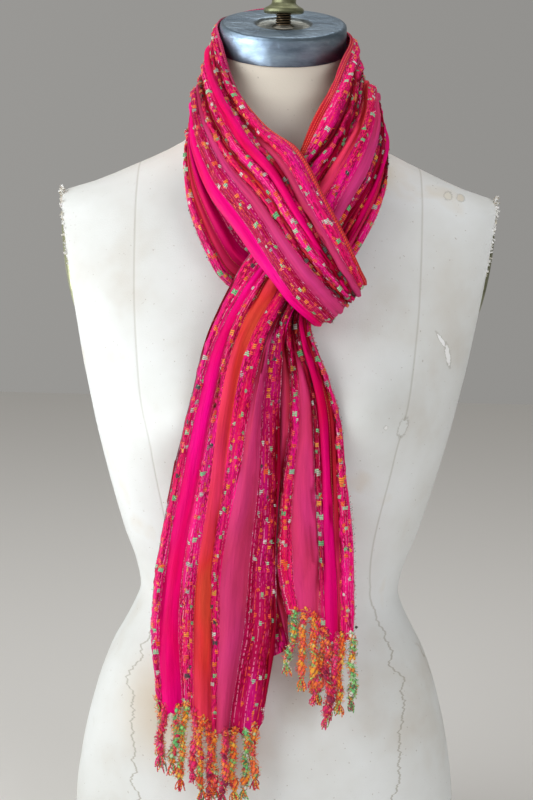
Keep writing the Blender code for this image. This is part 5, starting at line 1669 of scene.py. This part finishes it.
def fringe_runs(roots, table, seed):
    """All tubes of one fringe: plies, knots, brushes and end loops."""
    rng = random.Random(seed)
    runs = []
    for number, (root, (_, length, sideways, forward, kind)) in enumerate(zip(roots, table)):
        root = root + np.array((0.0, CLOTH / 2, 3.0))
        steps = int(length / RUN_STEP)
        part = np.linspace(0, 1, steps)
        sway = 1.6 * np.sin(part * math.pi) * (-1) ** number
        sway = sway + 0.9 * np.sin(part * rng.uniform(8, 13) + rng.uniform(0, 6))
        fall = -(length - UNTWISTED) * part
        middle = root + np.stack([sideways * part**1.5 + sway, -forward * part, fall], axis=1)
        phase = rng.uniform(0, 6)
        lumps = np.arange(0, length + 6, LUMP_LENGTH)
        for ply in (0, 1):
            angle = phase + ply * math.pi + 2 * math.pi * part * length / PLY_PITCH
            around = np.stack([np.cos(angle), np.sin(angle), np.zeros(steps)], axis=1)
            lump = np.interp(part * length, lumps, [rng.uniform(0.5, 1.5) for _ in lumps])
            knot = 1 + 0.8 * np.exp(-(((1 - part) * length - KNOT_HEIGHT) / KNOT_LENGTH) ** 2)
            taper = np.clip(0.6 + part * length / 8, 0, 1)
            colours, colour = [], rng.choice(YARNS[kind])
            for _ in range(steps):
                if rng.random() < NEW_COLOUR:
                    colour = rng.choice(YARNS[kind])
                colours.append(colour)
            path = middle + around * PLY_APART * taper[:, None]
            runs.append((path, PLY_RADIUS * lump * knot * taper, colours, 0.0))
        tip = middle[-1]
        way = np.linspace(0, 1, 6)[:, None]
        for _ in range(BRUSH_HAIRS):
            spread_out = np.array((rng.uniform(-4.5, 4.5), rng.uniform(-2.5, 2.5), -rng.uniform(5, 12)))
            curl = np.array((rng.uniform(-2, 2), rng.uniform(-1, 1), 0.0)) * np.sin(way * math.pi)
            runs.append((tip + spread_out * way + curl, BRUSH_RADIUS, (rng.choice(YARNS[kind]),), 0.0))
        turn = np.linspace(0, 1, 14) * math.pi
        for _ in range(1 + number % 2):
            wide, deep = rng.uniform(1.2, 2.4), rng.uniform(6, 10)
            forth = np.full(len(turn), rng.uniform(-1, 1))
            loop = np.stack([wide * np.sin(turn * 2), forth, -deep * np.sin(turn)], axis=1)
            runs.append((tip + loop, LOOP_RADIUS, (rng.choice(YARNS["green"]),), 0.0))
    return runs


def fuzz_on(runs, seed, name):
    """Short loose ends all round the tubes of a fringe."""
    rng = random.Random(seed)
    seat, heading, outward, shades = [], [], [], []
    for path, radius, colours, _ in runs:
        if len(path) < 20:
            continue
        for k in range(2, len(path) - 1):
            for _ in range(FUZZ_HAIRS):
                angle = rng.uniform(0, 2 * math.pi)
                out = np.array((math.cos(angle), math.sin(angle) * 0.8, rng.uniform(-0.7, 0.5)))
                seat.append(path[k] + out * radius[k] * 0.8)
                outward.append(out)
                heading.append([rng.uniform(-1, 1) for _ in range(3)])
                mixed = rng.random() < FUZZ_MIXED
                shades.append(rng.choice(YARNS["mixed"]) if mixed else colours[(k * 7) % len(colours)])
    seat, heading, outward = np.array(seat), unit(np.array(heading)), unit(np.array(outward))
    curl = small_grid(1, 3, lambda x, y: 1.9 * math.sin((y + 0.5) * 2.4))
    across = unit(np.cross(heading, outward))
    return strewn(name, curl, seat, across * FUZZ_THICK, heading * FUZZ_LENGTH, outward * 1.3, shades, yarn_material)


fringes = {}
for roots, table, node in ((long_roots, LONG_FRINGE, "long_fringe"), (short_roots, SHORT_FRINGE, "short_fringe")):
    runs = fringe_runs(roots, table, len(table))
    strands = tubes(node + "_strands", runs, 6, twist_material)
    fuzz = fuzz_on(runs, len(table) + 1, node + "_fuzz")
    declare(strands, "fringe_yarn", node)
    declare(fuzz, "fringe_yarn")
    fringes[node] = [strands, fuzz]
    for part in fringes[node]:
        print(part.name, len(part.data.polygons) * 2, "triangles")

# %% [markdown]
# The form's skin is layers of paper and cloth. At the armholes its cut edge has frayed: small off-white
# flakes stand up on the shoulder points, with a few loose fibres. One flake is modelled, slightly cupped,
# and copied along both edges at many sizes.

# %% Frayed paper on the shoulder points
FRAY_FOOT = 535.0
FRAY_TOP = 601.0
FRAY_COUNT = 150
PAPERS = ("#f4f3ee", "#fbfaf7", "#e6e1d4", "#d9d2c0")


def frayed_edge(side):
    """Places, headings and sizes of flakes along the front of an armhole's edge."""
    rng = random.Random(70 + side)
    rows = []
    for _ in range(FRAY_COUNT):
        z = FRAY_TOP - (FRAY_TOP - FRAY_FOOT) * rng.random() ** 1.6
        x = np.interp(z, (ARM_CUT_FOOT[1], ARM_CUT_TOP[1]), (ARM_CUT_FOOT[0], ARM_CUT_TOP[0]))
        half, front, back, middle, _ = form_section(min(z, 596.0))[0]
        reach = max(0.0, 1 - min(1.0, x / half) ** ROUNDNESS) ** (1 / ROUNDNESS)
        y = middle - (middle - front) * reach * rng.uniform(0.55, 1.0)
        heading = unit(np.array((side * rng.uniform(0.1, 1.0), rng.uniform(-1.0, 0.4), rng.uniform(-1.0, 0.9))))
        outward = unit(np.cross(heading, (rng.uniform(-1, 1), rng.uniform(-1, 1), 0.3)))
        seat = np.array((side * (x - 0.6), y, z))
        rows.append((seat, heading, outward, rng.uniform(1.2, 3.4), rng.uniform(2.0, 6.0)))
    return rows


paper, tree, shader = new_material("frayed_off_white_paper")
paper_colour = add_node(tree, "Attribute", {}, "Color", attribute_name="yarn")
fibres = add_node(tree, "TexNoise", {"Vector": add_node(tree, "TexCoord", {}, "Object"), "Scale": 900.0})
fibre_value = add_node(tree, "MapRange", {0: fibres, 1: 0.3, 2: 0.7, 3: 0.85, 4: 1.05})
fibred = add_node(tree, "HueSaturation", {"Value": fibre_value, "Color": paper_colour})
feed(shader, {"Base Color": fibred, "Roughness": 0.85})
shreds = [row for side in (-1, 1) for row in frayed_edge(side)]
seat, heading, outward, wide, long = (np.array(values) for values in zip(*shreds))
wide, long = wide[:, None], long[:, None]
rng = random.Random(9)
flake = small_grid(2, 3, lambda x, y: 0.5 * y * y + 0.25 * math.cos(6 * x))
fray = strewn("frayed_armhole_edges", flake, seat + heading * long / 3, np.cross(heading, outward) * wide,
              heading * long, outward * 1.6, [rng.choice(PAPERS) for _ in shreds], paper)
declare(fray, "form_canvas")
print("flakes:", len(shreds))
